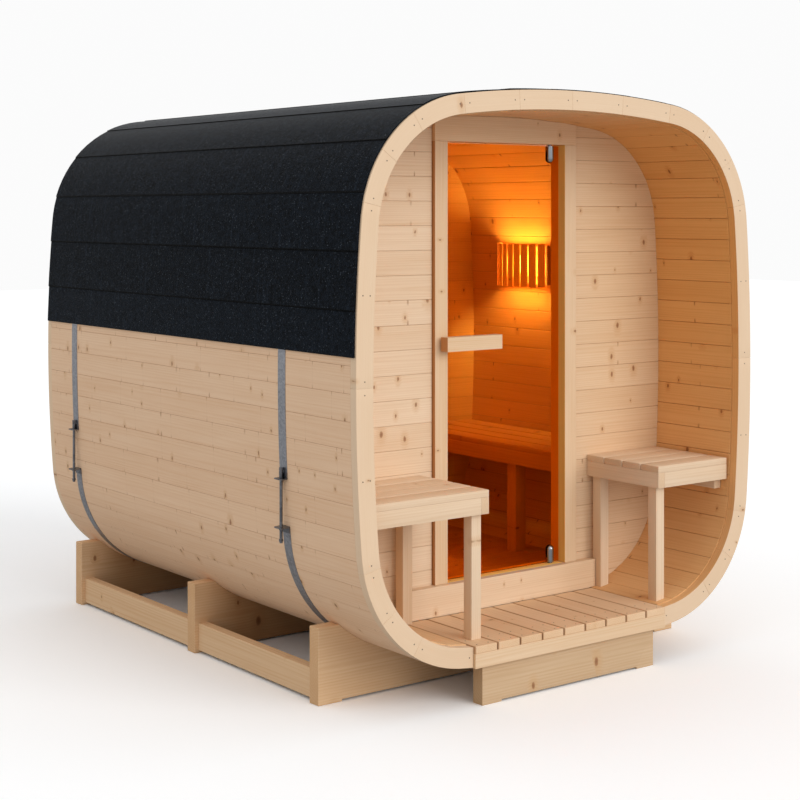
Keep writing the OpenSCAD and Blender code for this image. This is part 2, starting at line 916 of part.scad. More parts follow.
cradle_board_front();
cradle_board_middle();
cradle_board_rear();
cradle_rails();
cradle_cleats();
porch_support();
shell_floor();
shell_lower_left();
shell_left();
shell_upper_left();
shell_top();
shell_upper_right();
shell_right();
shell_lower_right();
front_ring_lower_left();
front_ring_upper_left();
front_ring_upper_right();
front_ring_lower_right();
rear_ring_lower_left();
rear_ring_upper_left();
rear_ring_upper_right();
rear_ring_lower_right();
porch_beam();
floor_bearers();
deck_slats();
room_floor();
rear_deck();
front_wall_left();
front_wall_right();
door_header();
door_sill();
door_jambs();
rear_wall();
door_glass();
door_clamps();
door_handle();
pivot_sockets();
seat_left_top();
seat_left_frame();
seat_right_top();
seat_right_frame();
bench_top();
bench_frame();
lamp_back();
lamp_shade();
lamp_bulb();
hoop_front();
hoop_rear();
tensioners_left();
tensioners_right();
roofing_left();
roofing_top();
roofing_right();
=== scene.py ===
import bmesh
import bpy
import math
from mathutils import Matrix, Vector
from random import Random


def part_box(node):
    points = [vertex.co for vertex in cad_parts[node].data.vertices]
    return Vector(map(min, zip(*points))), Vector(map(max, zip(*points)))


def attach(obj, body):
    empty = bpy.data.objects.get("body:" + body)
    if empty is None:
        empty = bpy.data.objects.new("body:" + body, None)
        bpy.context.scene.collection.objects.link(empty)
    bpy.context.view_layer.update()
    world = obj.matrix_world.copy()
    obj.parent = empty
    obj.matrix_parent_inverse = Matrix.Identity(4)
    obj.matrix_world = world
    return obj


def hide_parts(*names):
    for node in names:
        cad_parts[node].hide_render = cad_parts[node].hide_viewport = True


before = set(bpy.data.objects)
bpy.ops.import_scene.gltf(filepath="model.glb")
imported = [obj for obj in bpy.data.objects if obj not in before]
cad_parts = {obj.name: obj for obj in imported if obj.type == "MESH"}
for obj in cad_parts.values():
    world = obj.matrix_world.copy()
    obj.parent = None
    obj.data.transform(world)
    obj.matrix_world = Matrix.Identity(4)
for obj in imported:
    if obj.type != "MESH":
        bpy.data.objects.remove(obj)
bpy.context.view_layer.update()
print("frame loaded:", len(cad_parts), "parts")


# small helpers for node trees, used by the finishes and the growers alike
def plugIn(tree, node, sockets):  # a wire where the value comes from another node, or a plain number
    for key, value in sockets.items():
        if isinstance(value, bpy.types.NodeSocket):
            tree.links.new(value, node.inputs[key])
        else:
            node.inputs[key].default_value = value


def addNode(tree, kind, sockets=None, **settings):
    node = tree.nodes.new(kind)
    for name, value in settings.items():
        setattr(node, name, value)
    plugIn(tree, node, sockets or {})
    return node


def maths(tree, operation, *values, clamp=False):
    sockets = dict(enumerate(values))
    return addNode(tree, "ShaderNodeMath", sockets, operation=operation, use_clamp=clamp).outputs[0]


def times(tree, first, second):
    return maths(tree, "MULTIPLY", first, second)


def timesPlus(tree, first, second, third):
    return maths(tree, "MULTIPLY_ADD", first, second, third)


def centred(tree, value):
    return maths(tree, "SUBTRACT", value, 0.5)


def vectorMaths(tree, operation, *values):
    return addNode(tree, "ShaderNodeVectorMath", dict(enumerate(values)), operation=operation).outputs[0]


def combine(tree, *values):
    return addNode(tree, "ShaderNodeCombineXYZ", dict(enumerate(values))).outputs[0]


def separate(tree, vector):
    return addNode(tree, "ShaderNodeSeparateXYZ", {0: vector}).outputs


def ramp(tree, value, low, high, fromValue=0.0, toValue=1.0):
    sockets = {"Value": value, "From Min": low, "From Max": high, "To Min": fromValue, "To Max": toValue}
    return addNode(tree, "ShaderNodeMapRange", sockets, interpolation_type="SMOOTHSTEP").outputs[0]


def noise(tree, place, scale, detail, output=0):
    sockets = {"Vector": place, "Scale": scale, "Detail": detail}
    return addNode(tree, "ShaderNodeTexNoise", sockets).outputs[output]


def stretchedNoise(tree, place, stretch, detail):
    return noise(tree, vectorMaths(tree, "MULTIPLY", place, stretch), 1.0, detail)


def cells(tree, place, scale=1.0, along="Vector", **settings):  # distance to a cell's middle, and its dice
    pattern = addNode(tree, "ShaderNodeTexVoronoi", {along: place, "Scale": scale}, **settings).outputs
    return pattern["Distance"], addNode(tree, "ShaderNodeSeparateColor", {0: pattern["Color"]}).outputs


def attribute(tree, name, output="Fac"):
    return addNode(tree, "ShaderNodeAttribute", attribute_name=name).outputs[output]


def objectPlace(tree):
    return addNode(tree, "ShaderNodeTexCoord").outputs["Object"]


def mixColour(tree, factor, first, second, mode="MIX"):
    sockets = {0: factor, 6: first, 7: second}
    return addNode(tree, "ShaderNodeMix", sockets, data_type="RGBA", blend_type=mode).outputs[2]


def linearColour(red, green, blue):  # from the usual 0 to 255 colour to Blender's linear one
    def toLinear(part):
        part = part / 255
        return part / 12.92 if part <= 0.04045 else ((part + 0.055) / 1.055) ** 2.4

    return (toLinear(red), toLinear(green), toLinear(blue), 1.0)


# in a look, three whole numbers are a colour from 0 to 255, and four numbers a linear colour or a filter
def newFinish(name, look):
    material = bpy.data.materials.new(name)
    material.use_nodes = True
    tree = material.node_tree
    look = {key: linearColour(*value) if isinstance(value, tuple) and type(value[-1]) is int else value
            for key, value in look.items()}
    return material, tree, tree.nodes["Principled BSDF"], look


spruceLook = dict(
    pale=(238, 210, 177), deep=(220, 181, 138), halo=(207, 158, 106), knot=(150, 96, 56), heart=(108, 64, 34),
    groove=(150, 104, 62), roughness=0.62, specular=0.3, bump={"Strength": 0.22, "Distance": 0.0012},
    knotSpacing=0.11, knotStretch=1.7, knotShare=0.36, knotSize=0.007, knotShift=31.0, blurScale=55.0,
    blur=(0.05, 0.05, 0.0), coreReach=(0.6, 1.1), heartReach=(0.1, 0.75), haloReach=(0.8, 4.0), coreTint=0.7,
    heartTint=0.35, haloTint=0.35,
    fleckSpacing=0.33, fleckShare=0.0, fleckShift=17.0, fleckLength=(0.004, 0.003), fleckStrength=(0.6, 0.3),
    fleckTint=0.75,
    pithSpread=0.10, pithDepth=0.045, ringWarp=0.016, ringSpacing=0.0078, ringPinch=0.006, ringEdge=2.2,
    warpStretch=(0.9, 6.0, 6.0), fibreStretch=(3.5, 190.0, 190.0), cloudStretch=(2.2, 14.0, 14.0),
    shade=0.42, toneSpread=0.24, ringShade=0.2, fibreShade=0.6, cloudShade=0.5, endShade=0.45, endTint=0.85,
    jointSpacing=0.46, jointShade=0.0, jointWidth=(0.0007, 0.0022), grooveFrom=0.965, grooveShade=0.25)


# sawn timber, coloured from each board's own grain coordinates in metres: x runs
# along the board, y across its face and z through it. "side" runs from -1 to 1
# across a matched board and is 0 on plain timber, and "end" is 1 at its sawn ends.
def timberFinish(name, changes):
    material, tree, shader, look = newFinish(name, dict(spruceLook, **changes))
    grain = attribute(tree, "grain", "Vector")
    tone, side, end = [attribute(tree, word) for word in ("tone", "side", "end")]
    edge = maths(tree, "ABSOLUTE", side)
    along, across, depth = separate(tree, grain)

    # round knots scattered over the board
    knotAcross = timesPlus(tree, across, 1 / (look["knotSpacing"] * look["knotStretch"]),
                           times(tree, tone, look["knotShift"]))
    knotPlace = combine(tree, times(tree, along, 1 / look["knotSpacing"]), knotAcross)
    blur = vectorMaths(tree, "SUBTRACT", noise(tree, grain, look["blurScale"], 2.0, 1), (0.5, 0.5, 0.5))
    knotPlace = vectorMaths(tree, "ADD", knotPlace, vectorMaths(tree, "MULTIPLY", blur, look["blur"]))
    distance, dice = cells(tree, knotPlace, voronoi_dimensions="2D")
    present = maths(tree, "LESS_THAN", dice[0], look["knotShare"])
    size = look["knotSize"] / look["knotSpacing"]
    knotSize = timesPlus(tree, times(tree, dice[1], dice[1]), size * 0.75, size * 0.35)
    reach = maths(tree, "DIVIDE", distance, knotSize)
    core, heart, halo = [times(tree, ramp(tree, reach, *look[word], 1.0, 0.0), present)
                         for word in ("coreReach", "heartReach", "haloReach")]

    # knots cut lengthways, which show as a pair of dark flecks at a board's two edges
    fleckPlace = timesPlus(tree, along, 1 / look["fleckSpacing"], times(tree, tone, look["fleckShift"]))
    distance, dice = cells(tree, fleckPlace, along="W", voronoi_dimensions="1D")
    fleckReach = maths(tree, "DIVIDE", times(tree, distance, look["fleckSpacing"]),
                       timesPlus(tree, dice[1], *look["fleckLength"]))
    flecks = times(tree, ramp(tree, fleckReach, 0.5, 1.1, 1.0, 0.0), ramp(tree, edge, 0.5, 0.85))
    flecks = times(tree, flecks, maths(tree, "LESS_THAN", dice[0], look["fleckShare"]))
    flecks = times(tree, flecks, timesPlus(tree, dice[2], *look["fleckStrength"]))

    # growth rings about a pith off the board's face, warped along it and round the knots
    warp, fibre, cloud = [stretchedNoise(tree, grain, look[word], detail) for word, detail in (
        ("warpStretch", 2.0), ("fibreStretch", 3.0), ("cloudStretch", 2.0))]
    pithAcross = timesPlus(tree, centred(tree, tone), look["pithSpread"], across)
    pithDepth = maths(tree, "ADD", depth, look["pithDepth"])
    radius = maths(tree, "SQRT", maths(
        tree, "ADD", times(tree, pithAcross, pithAcross), times(tree, pithDepth, pithDepth)))
    radius = timesPlus(tree, warp, look["ringWarp"], radius)
    radius = timesPlus(tree, halo, look["ringPinch"], radius)
    wave = maths(tree, "SINE", times(tree, radius, 2 * math.pi / look["ringSpacing"]))
    rings = maths(tree, "POWER", timesPlus(tree, wave, 0.5, 0.5), look["ringEdge"])

    shade = timesPlus(tree, centred(tree, tone), look["toneSpread"], look["shade"])
    shade = timesPlus(tree, rings, look["ringShade"], shade)
    shade = timesPlus(tree, centred(tree, fibre), look["fibreShade"], shade)
    shade = timesPlus(tree, centred(tree, cloud), look["cloudShade"], shade)
    shade = timesPlus(tree, end, look["endShade"], shade)
    colour = mixColour(tree, maths(tree, "ADD", shade, 0.0, clamp=True), look["pale"], look["deep"])
    for mask, part, word in ((halo, "halo", "halo"), (core, "core", "knot"), (heart, "heart", "heart"),
                             (flecks, "fleck", "knot")):
        colour = mixColour(tree, times(tree, mask, look[part + "Tint"]), colour, look[word])

    # butt joints of finger-jointed boards: a fine line, darker at the board's edges
    jointCell = addNode(tree, "ShaderNodeTexVoronoi", {
        "W": times(tree, along, 1 / look["jointSpacing"]), "Scale": 1.0},
        voronoi_dimensions="1D", feature="DISTANCE_TO_EDGE")
    jointGap = times(tree, jointCell.outputs["Distance"], look["jointSpacing"])
    jointLine = ramp(tree, jointGap, *look["jointWidth"], 1.0, 0.0)
    jointLine = times(tree, jointLine, ramp(tree, edge, 0.62, 0.95, 0.12, 1.0))
    jointMark = times(tree, jointLine, look["jointShade"])
    colour = mixColour(tree, jointMark, colour, look["knot"])
    # painted shade in the V-grooves and gaps along a matched board's two edges
    groove = times(tree, ramp(tree, edge, look["grooveFrom"], 0.995), look["grooveShade"])
    colour = mixColour(tree, groove, colour, look["groove"])
    if "endGrain" in look:
        colour = mixColour(tree, times(tree, end, look["endTint"]), colour, look["endGrain"])
    if "paintedPorchShade" in look:  # painted shade and warm bounce light: darker and more honey coloured towards the open porch's right side and upwards
        x, y, z = separate(tree, objectPlace(tree))
        paintedPorchShade = times(tree, ramp(tree, x, -0.2, 0.8), ramp(tree, y, -0.72, -0.78))
        paintedPorchShade = times(tree, paintedPorchShade, ramp(tree, z, 0.2, 1.7, 0.55, 1.0))
        colour = mixColour(tree, paintedPorchShade, colour, look["paintedPorchShade"], "MULTIPLY")
    if "paintedUnderShade" in look:  # painted shade: darker towards the middle, under the shell
        x = separate(tree, objectPlace(tree))[0]
        underShade = ramp(tree, maths(tree, "ABSOLUTE", x), 0.93, 0.70)
        colour = mixColour(tree, underShade, colour, look["paintedUnderShade"], "MULTIPLY")

    gloss = timesPlus(tree, fibre, 0.22, look["roughness"] - 0.1)
    relief = timesPlus(tree, rings, 0.35, times(tree, fibre, 0.9))
    relief = timesPlus(tree, core, -0.8, relief)
    bump = addNode(tree, "ShaderNodeBump", dict(look["bump"], Height=relief))
    plugIn(tree, shader, {"Base Color": colour, "Roughness": timesPlus(tree, core, -0.15, gloss),
                          "Normal": bump.outputs[0], "Specular IOR Level": look["specular"]})
    if "glow" in look:  # painted glow: the thin slats give off a weak orange light, standing in for the lamp shining through them and the room's light on their outer faces
        plugIn(tree, shader, {"Emission Color": look["glow"], "Emission Strength": look["glowStrength"]})
    return material


cradleLook = dict(pale=(240, 207, 167), deep=(217, 172, 125), knotShare=0.35, knotSize=0.013, ringShade=0.24,
                  ringSpacing=0.011)
roomLook = dict(pale=(236, 194, 144), deep=(208, 152, 94), knotShare=0.3, knotSize=0.012, fleckShare=0.3,
                groove=(96, 56, 26), grooveShade=0.6)
spruce = timberFinish("spruce_planed", {})
ringTimber = timberFinish("spruce_rings", dict(
    pale=(237, 210, 180), deep=(222, 187, 149), toneSpread=0.14, ringShade=0.06, fibreShade=0.3,
    cloudShade=0.35, knotShare=0.1, knotSize=0.008))
staveTimber = timberFinish("spruce_staves", dict(
    pale=(242, 208, 174), deep=(225, 181, 141), jointShade=0.6, grooveShade=0.24, grooveFrom=0.97,
    knotShare=0.4, knotSize=0.0085, fleckShare=0.2, jointSpacing=0.33))
# the lining's paintedPorchShade filter is painted shade and warm bounce light on the porch's right side
liningTimber = timberFinish("spruce_lining", dict(
    pale=(240, 202, 158), deep=(222, 174, 122), groove=(128, 78, 38), knot=(140, 78, 36), halo=(196, 130, 72),
    heart=(110, 58, 26), grooveShade=0.32, knotShare=0.3, knotSize=0.009, fleckShare=0.25, ringShade=0.24,
    paintedPorchShade=(0.98, 0.75, 0.43, 1.0)))
# the wall boards' paintedPorchShade filter is painted shade, darker towards the porch ceiling and its right
# corner
wallTimber = timberFinish("spruce_wall_boards", dict(
    pale=(241, 216, 187), deep=(222, 187, 150), knotShare=0.46, knotSize=0.0085, fleckShare=0.1,
    grooveShade=0.22, ringShade=0.24, paintedPorchShade=(0.96, 0.87, 0.74, 1.0)))
deckTimber = timberFinish("spruce_deck", dict(
    pale=(238, 205, 168), deep=(219, 176, 132), grooveFrom=0.90, grooveShade=0.6, groove=(158, 102, 54)))
cradleTimber = timberFinish("cradle_timber", cradleLook)
# a copy of the cradle timber for the boards and cleats in the bays, with painted shade under the shell
bayShadeTimber = timberFinish("bay_timber_painted_shade", dict(cradleLook, paintedUnderShade=(0.66, 0.54, 0.42, 1.0)))
# the porch support: a darker copy of the cradle timber, painted shade
supportShadeTimber = timberFinish("support_timber_painted_shade", dict(cradleLook, pale=(217, 188, 153), deep=(195, 156, 114)))
seatTimber = timberFinish("seat_timber", dict(pale=(238, 213, 184), deep=(220, 186, 150), grooveShade=0.0))
roomTimber = timberFinish("spruce_room", roomLook)
# painted warm glow of the lit room, for the jambs beside the leaf and the threshold strip
revealGlowTimber = timberFinish("spruce_reveal", dict(pale=(254, 204, 112), deep=(246, 184, 90), knotShare=0.05))
handleTimber = timberFinish("spruce_handle", dict(endGrain=(190, 128, 76)))
# painted shade for the jambs' outer side faces
edgeShadeTimber = timberFinish("spruce_edges_painted_shade", dict(pale=(204, 150, 100), deep=(182, 126, 78), knotShare=0.05))
# the lamp's slats, with a painted glow
shadeTimber = timberFinish("lamp_slat_timber", dict(roomLook, glow=(1.0, 0.26, 0.04, 1.0), glowStrength=0.24))


def feltFinish(name, look):
    material, tree, shader, look = newFinish(name, look)
    grain = attribute(tree, "grain", "Vector")
    granule = cells(tree, grain, 1 / look["granule"])[1][0]
    blotch = noise(tree, grain, look["blotchScale"], 4.0)
    wipe = stretchedNoise(tree, grain, look["wipeStretch"], 3.0)
    shade = timesPlus(tree, maths(tree, "POWER", granule, 3.0), 0.7, 0.05)
    shade = timesPlus(tree, centred(tree, blotch), 0.9, shade)
    shade = timesPlus(tree, ramp(tree, wipe, 0.56, 0.72), 0.5, shade)
    shade = timesPlus(tree, attribute(tree, "tone"), 0.2, shade)
    colour = mixColour(tree, maths(tree, "ADD", shade, 0.0, clamp=True), look["dark"], look["light"])
    distance, dice = cells(tree, grain, 1 / look["chip"])
    chip = times(tree, maths(tree, "GREATER_THAN", dice[1], 1 - look["chipShare"]),
                 ramp(tree, distance, 0.25, 0.5, 1.0, 0.0))
    colour = mixColour(tree, times(tree, chip, look["chipTint"]), colour, look["chipColour"])
    # painted shadow of the laps: a dark band along both edges of each strip
    lap = ramp(tree, maths(tree, "ABSOLUTE", attribute(tree, "side")), 0.95, 0.98)
    bump = addNode(tree, "ShaderNodeBump", dict(look["bump"], Height=timesPlus(tree, granule, 0.7, blotch)))
    plugIn(tree, shader, {"Base Color": mixColour(tree, lap, colour, look["lap"]), "Normal": bump.outputs[0]})
    plugIn(tree, shader, look["surface"])
    return material


def metalFinish(name, look):
    material, tree, shader, look = newFinish(name, look)
    place = objectPlace(tree)
    dice = cells(tree, place, look["spangleScale"])[1][0]
    haze = noise(tree, place, 18.0, 4.0)
    shade = maths(tree, "MULTIPLY_ADD", dice, look["spangle"], times(tree, haze, 0.5), clamp=True)
    plugIn(tree, shader, {
        "Base Color": mixColour(tree, shade, look["dark"], look["light"]), "Metallic": 1.0,
        "Roughness": timesPlus(tree, haze, look["roughSpread"], look["roughness"])})
    return material


felt = feltFinish("mineral_felt", dict(
    dark=(3, 5, 8), light=(28, 36, 46), granule=0.004, blotchScale=42.0, wipeStretch=(48.0, 2.2, 1.0),
    chip=0.0055, chipShare=0.06, chipTint=0.75, chipColour=(78, 85, 93), lap=(1, 2, 3),
    bump={"Strength": 0.55, "Distance": 0.0015},
    surface={"Roughness": 0.8, "Specular IOR Level": 0.05, "Sheen Weight": 0.14, "Sheen Roughness": 0.3}))
zinc, screwSteel, castSteel, chrome = [metalFinish(name, dict(
    dark=dark, light=light, spangleScale=scale, spangle=spangle, roughness=roughness, roughSpread=spread))
    for name, dark, light, scale, spangle, roughness, spread in (
        ("galvanised_steel", (118, 119, 124), (176, 177, 182), 140.0, 0.4, 0.34, 0.2),
        ("screw_steel", (92, 80, 70), (140, 126, 112), 300.0, 0.3, 0.4, 0.2),
        ("tensioner_steel", (70, 72, 76), (140, 142, 148), 90.0, 0.5, 0.25, 0.25),
        ("polished_chrome", (132, 134, 138), (182, 184, 188), 30.0, 0.05, 0.1, 0.06))]


def glassFinish(name, look):
    material, tree, shader, look = newFinish(name, look)
    smear = noise(tree, objectPlace(tree), look["smearScale"], 3.0)
    plugIn(tree, shader, {"Base Color": look["tint"], "Transmission Weight": 1.0, "IOR": look["ior"],
                          "Roughness": ramp(tree, smear, 0.35, 0.8, 0.0, look["smear"])})
    return material


def lampFinish(name, look):
    material, tree, shader, look = newFinish(name, look)
    frost = noise(tree, objectPlace(tree), look["frostScale"], 2.0)
    plugIn(tree, shader, {
        "Base Color": look["glass"], "Emission Color": mixColour(tree, frost, look["glow"], look["glass"]),
        "Emission Strength": look["strength"], "Roughness": 0.5})
    return material


bronzeGlass = glassFinish("bronze_glass", dict(
    tint=(0.98, 0.49, 0.06, 1.0), ior=1.04, smearScale=3.0, smear=0.03))
lampGlow = lampFinish("lamp_glass", dict(
    glass=(255, 246, 236), glow=(246, 236, 255), strength=190.0, frostScale=60.0))
print("finishes made")


# the shell's rounded-square outline, from the frame's own size
def cornersOf(points):
    return [Vector([pick(p[k] for p in points) for k in range(3)]) for pick in (min, max)]


def boxOf(*names):
    return cornersOf([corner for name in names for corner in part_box(name)])


shellLow, shellHigh = boxOf("shell_left", "shell_right", "shell_top", "shell_floor")
shell = {"cornerRadius": 0.517, "sideBow": 7.2, "topBow": 4.6, "staveDepth": 0.045, "wallDepth": 0.080,
         "ringWidth": 0.076, "liningEdge": 0.509, "clearance": 0.0005}
shellWidth, shellHeight = shellHigh.x - shellLow.x, shellHigh.z - shellLow.z
shellMiddle = (shellLow.z + shellHigh.z) / 2


def cornerCentre():
    sideReach = shell["sideBow"] - shell["cornerRadius"]
    topReach = shell["topBow"] - shell["cornerRadius"]
    apart = math.hypot(sideCentre, topCentre)
    along = (sideReach ** 2 - topReach ** 2 + apart ** 2) / (2 * apart)
    across = math.sqrt(sideReach ** 2 - along ** 2)
    ux, uz = -sideCentre / apart, topCentre / apart
    return sideCentre + along * ux - across * uz, along * uz + across * ux


sideCentre, topCentre = shellWidth / 2 - shell["sideBow"], shellHeight / 2 - shell["topBow"]
cornerX, cornerZ = cornerCentre()
sideAngle = math.atan2(cornerZ, cornerX - sideCentre)
topAngle = math.atan2(cornerZ - topCentre, cornerX)
sideGirth = shell["sideBow"] * sideAngle
cornerGirth = shell["cornerRadius"] * (topAngle - sideAngle)
topGirth = shell["topBow"] * (math.pi / 2 - topAngle)
quarterGirth = sideGirth + cornerGirth + topGirth
wholeGirth = 4 * quarterGirth


def quarterOf(girth):  # the quarter, and how far along it from the middle of its side
    turn, along = divmod(girth, quarterGirth)
    return int(turn), quarterGirth - along if turn % 2 else along


# a point and its outward direction, so far round from the right side's middle
def outlineAt(girth, inset=0.0):
    turn, along = quarterOf(girth)
    turn %= 4
    if along <= sideGirth:
        radius, centre, angle = shell["sideBow"], (sideCentre, 0.0, 0.0), along / shell["sideBow"]
    elif along <= sideGirth + cornerGirth:
        radius, centre = shell["cornerRadius"], (cornerX, 0.0, cornerZ)
        angle = sideAngle + (along - sideGirth) / radius
    else:
        radius, centre = shell["topBow"], (0.0, 0.0, topCentre)
        angle = topAngle + (along - sideGirth - cornerGirth) / radius
    normal = Vector((math.cos(angle), 0.0, math.sin(angle)))
    point = Vector(centre) + (radius - inset) * normal
    if turn in (1, 2):
        point.x, normal.x = -point.x, -normal.x
    if turn in (2, 3):
        point.z, normal.z = -point.z, -normal.z
    point.z += shellMiddle
    return point, normal


def girthAt(turn, axis, value, inset=0.0):  # where the outline of that quarter reaches a height or a width
    low, high = turn * quarterGirth, (turn + 1) * quarterGirth
    rising = outlineAt(high - 1e-6, inset)[0][axis] > outlineAt(low + 1e-6, inset)[0][axis]
    for _ in range(50):
        middle = (low + high) / 2
        if (outlineAt(middle, inset)[0][axis] < value) == rising:
            low = middle
        else:
            high = middle
    return (low + high) / 2


def clipToOutline(corners, inset, steps=180):  # a flat polygon in X and Z, cut to the rounded section
    hull = [(p.x, p.z) for p in (outlineAt(wholeGirth * i / steps, inset)[0] for i in range(steps))]
    kept = corners
    for i, start in enumerate(hull):
        end = hull[(i + 1) % steps]
        edge = (end[0] - start[0], end[1] - start[1])

        def side(p):
            return edge[0] * (p[1] - start[1]) - edge[1] * (p[0] - start[0])

        clipped = []
        for j, here in enumerate(kept):
            before = kept[j - 1]
            a, b = side(before), side(here)
            if (a < 0) != (b < 0):
                t = a / (a - b)
                clipped.append((before[0] + (here[0] - before[0]) * t, before[1] + (here[1] - before[1]) * t))
            if b >= 0:
                clipped.append(here)
        kept = clipped
        if not kept:
            return []
    return kept


# shared mesh makers
helpers = []


def addPiece(name, data):
    piece = bpy.data.objects.new(name, data)
    bpy.context.scene.collection.objects.link(piece)
    return piece


def addHelper(name, data):  # removed again before the stage is set
    helpers.append(addPiece(name, data))
    return helpers[-1]


def meshOf(name, shapes):
    mesh = bpy.data.meshes.new(name)
    shapes.to_mesh(mesh)
    shapes.free()
    return mesh


def storeNumbers(mesh, name, values):  # a number or a vector for each point
    if isinstance(values[0], (int, float)):
        mesh.attributes.new(name, "FLOAT", "POINT").data.foreach_set("value", values)
    else:
        flat = [part for vector in values for part in vector]
        mesh.attributes.new(name, "FLOAT_VECTOR", "POINT").data.foreach_set("vector", flat)


def loftMesh(name, lofts):  # each loft is a row of closed loops, joined in order and capped at both ends
    vertices, faces = [], []
    for loops in lofts:
        first, count = len(vertices), len(loops[0])
        last = first + (len(loops) - 1) * count
        for loop in loops:
            vertices.extend(loop)
        for a in range(first, last, count):
            b, turned = a + count, [(j + 1) % count for j in range(count)]
            faces += [(a + j, a + k, b + k, b + j) for j, k in enumerate(turned)]
        faces.append(tuple(first + j for j in reversed(range(count))))
        faces.append(tuple(last + j for j in range(count)))
    mesh = bpy.data.meshes.new(name)
    mesh.from_pydata([tuple(v) for v in vertices], [], faces)
    shapes = bmesh.new()
    shapes.from_mesh(mesh)
    bmesh.ops.recalc_face_normals(shapes, faces=shapes.faces)
    shapes.to_mesh(mesh)
    shapes.free()
    return mesh


def easedLoops(ring, low, high, chamfer):  # a board's loops from end to end, smaller at its two eased ends
    return [ring(low, chamfer), ring(low + chamfer, 0.0), ring(high - chamfer, 0.0), ring(high, chamfer)]


def finishPiece(piece, material, slot, replaced=(), body="sauna", smoothAngle=20):
    piece.data.materials.clear()
    piece.data.materials.append(material)
    piece.data.polygons.foreach_set("use_smooth", [True] * len(piece.data.polygons))
    piece.data.set_sharp_from_angle(angle=math.radians(smoothAngle))
    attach(piece, body)
    if replaced:
        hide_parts(*replaced)
    return piece


def islandsOf(mesh):
    parent = list(range(len(mesh.vertices)))

    def root(i):
        while parent[i] != i:
            parent[i] = parent[parent[i]]
            i = parent[i]
        return i

    for a, b in mesh.edge_keys:
        parent[root(a)] = root(b)
    groups = {}
    for i in range(len(parent)):
        groups.setdefault(root(i), []).append(i)
    return list(groups.values())


# each separate board gets grain coordinates and a tone of its own; a matched board
# also knows how far across it is, and a plain one where its sawn ends are
def dressBoards(piece, axes, seed, matched=False):
    dice = Random(seed)
    mesh = piece.data
    count = len(mesh.vertices)
    grain = [None] * count
    values = {name: [0.0] * count for name in ("tone", "side", "end")}
    for island in islandsOf(mesh):
        low, high = cornersOf([mesh.vertices[i].co for i in island])
        along, across, depth = axes(low, high) if callable(axes) else axes
        slide, tone = dice.uniform(-40, 40), dice.random()
        half = max((high[across] - low[across]) / 2, 1e-6)
        for i in island:
            place = mesh.vertices[i].co
            side = place[across] - (low[across] + high[across]) / 2
            grain[i] = (place[along] + slide, side, place[depth] - (low[depth] + high[depth]) / 2)
            values["tone"][i] = tone
            if matched:
                values["side"][i] = side / half
            elif min(place[along] - low[along], high[along] - place[along]) < 0.0002:
                values["end"][i] = 1.0
    storeNumbers(mesh, "grain", grain)
    for name, given in values.items():
        storeNumbers(mesh, name, given)
    return piece


def longestAlong(low, high):  # a beam's grain runs along its longest side and its face is its next one
    return sorted(range(3), key=lambda k: low[k] - high[k])


def bevelSharp(shapes, width):
    sharp = [e for e in shapes.edges if len(e.link_faces) == 2 and e.calc_face_angle(0) > math.radians(25)]
    bmesh.ops.bevel(shapes, geom=sharp, offset=width, segments=2, profile=0.6, affect="EDGES",
                    clamp_overlap=True)


def beamSet(name, boxes, width):  # rounded beams between opposite corners
    shapes = bmesh.new()
    for a, b in boxes:
        for vertex in bmesh.ops.create_cube(shapes, size=1.0)["verts"]:
            vertex.co = [(min if vertex.co[k] < 0 else max)(a[k], b[k]) for k in range(3)]
    bevelSharp(shapes, width)
    return addPiece(name, meshOf(name, shapes))


def beamPiece(name, boxes, width, axes, seed, material, slot, replaced=()):
    finishPiece(dressBoards(beamSet(name, boxes, width), axes, seed), material, slot, replaced)


def mergedNode(node):
    shapes = bmesh.new()
    shapes.from_mesh(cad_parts[node].data)
    bmesh.ops.remove_doubles(shapes, verts=shapes.verts, dist=1e-5)
    return shapes


def roundedCopy(name, node, width):  # the frame's own shape, with its sawn edges eased
    shapes = mergedNode(node)
    bmesh.ops.dissolve_limit(shapes, angle_limit=math.radians(0.3), verts=shapes.verts, edges=shapes.edges)
    bevelSharp(shapes, width)
    return addPiece(name, meshOf(name, shapes))


# growers: Geometry Nodes trees that repeat a blank
def newGrower(name, sockets):
    tree = bpy.data.node_groups.new(name, "GeometryNodeTree")
    tree.is_modifier = True
    for label, kind in {"Geometry": "Geometry", **sockets, "Finish": "Material"}.items():
        tree.interface.new_socket(label, in_out="INPUT", socket_type="NodeSocket" + kind)
    tree.interface.new_socket("Geometry", in_out="OUTPUT", socket_type="NodeSocketGeometry")
    return tree, addNode(tree, "NodeGroupInput").outputs


def storeValue(tree, geometry, name, value, kind="FLOAT", domain="POINT"):
    sockets = {"Geometry": geometry, "Name": name, "Value": value}
    return addNode(tree, "GeometryNodeStoreNamedAttribute", sockets, data_type=kind, domain=domain).outputs[0]


def readValue(tree, name, kind="FLOAT"):
    return addNode(tree, "GeometryNodeInputNamedAttribute", {"Name": name}, data_type=kind).outputs[0]


def fromObject(tree, given, whole=False):
    sockets = {"Object": given, "As Instance": whole}
    return addNode(tree, "GeometryNodeObjectInfo", sockets).outputs["Geometry"]


def randomBetween(tree, low, high, identity, seed):
    sockets = {2: low, 3: high, "ID": identity, "Seed": seed}
    return addNode(tree, "FunctionNodeRandomValue", sockets, data_type="FLOAT").outputs[1]


def scatterGrain(tree, geometry, identity, seed):  # each board slides along its own grain and takes a tone
    grain = readValue(tree, "grain", "FLOAT_VECTOR")
    slide = combine(tree, randomBetween(tree, -40, 40, identity, seed))
    geometry = storeValue(tree, geometry, "grain", vectorMaths(tree, "ADD", grain, slide), "FLOAT_VECTOR")
    tone = randomBetween(tree, 0, 1, identity, maths(tree, "ADD", seed, 7))
    return storeValue(tree, geometry, "tone", tone)


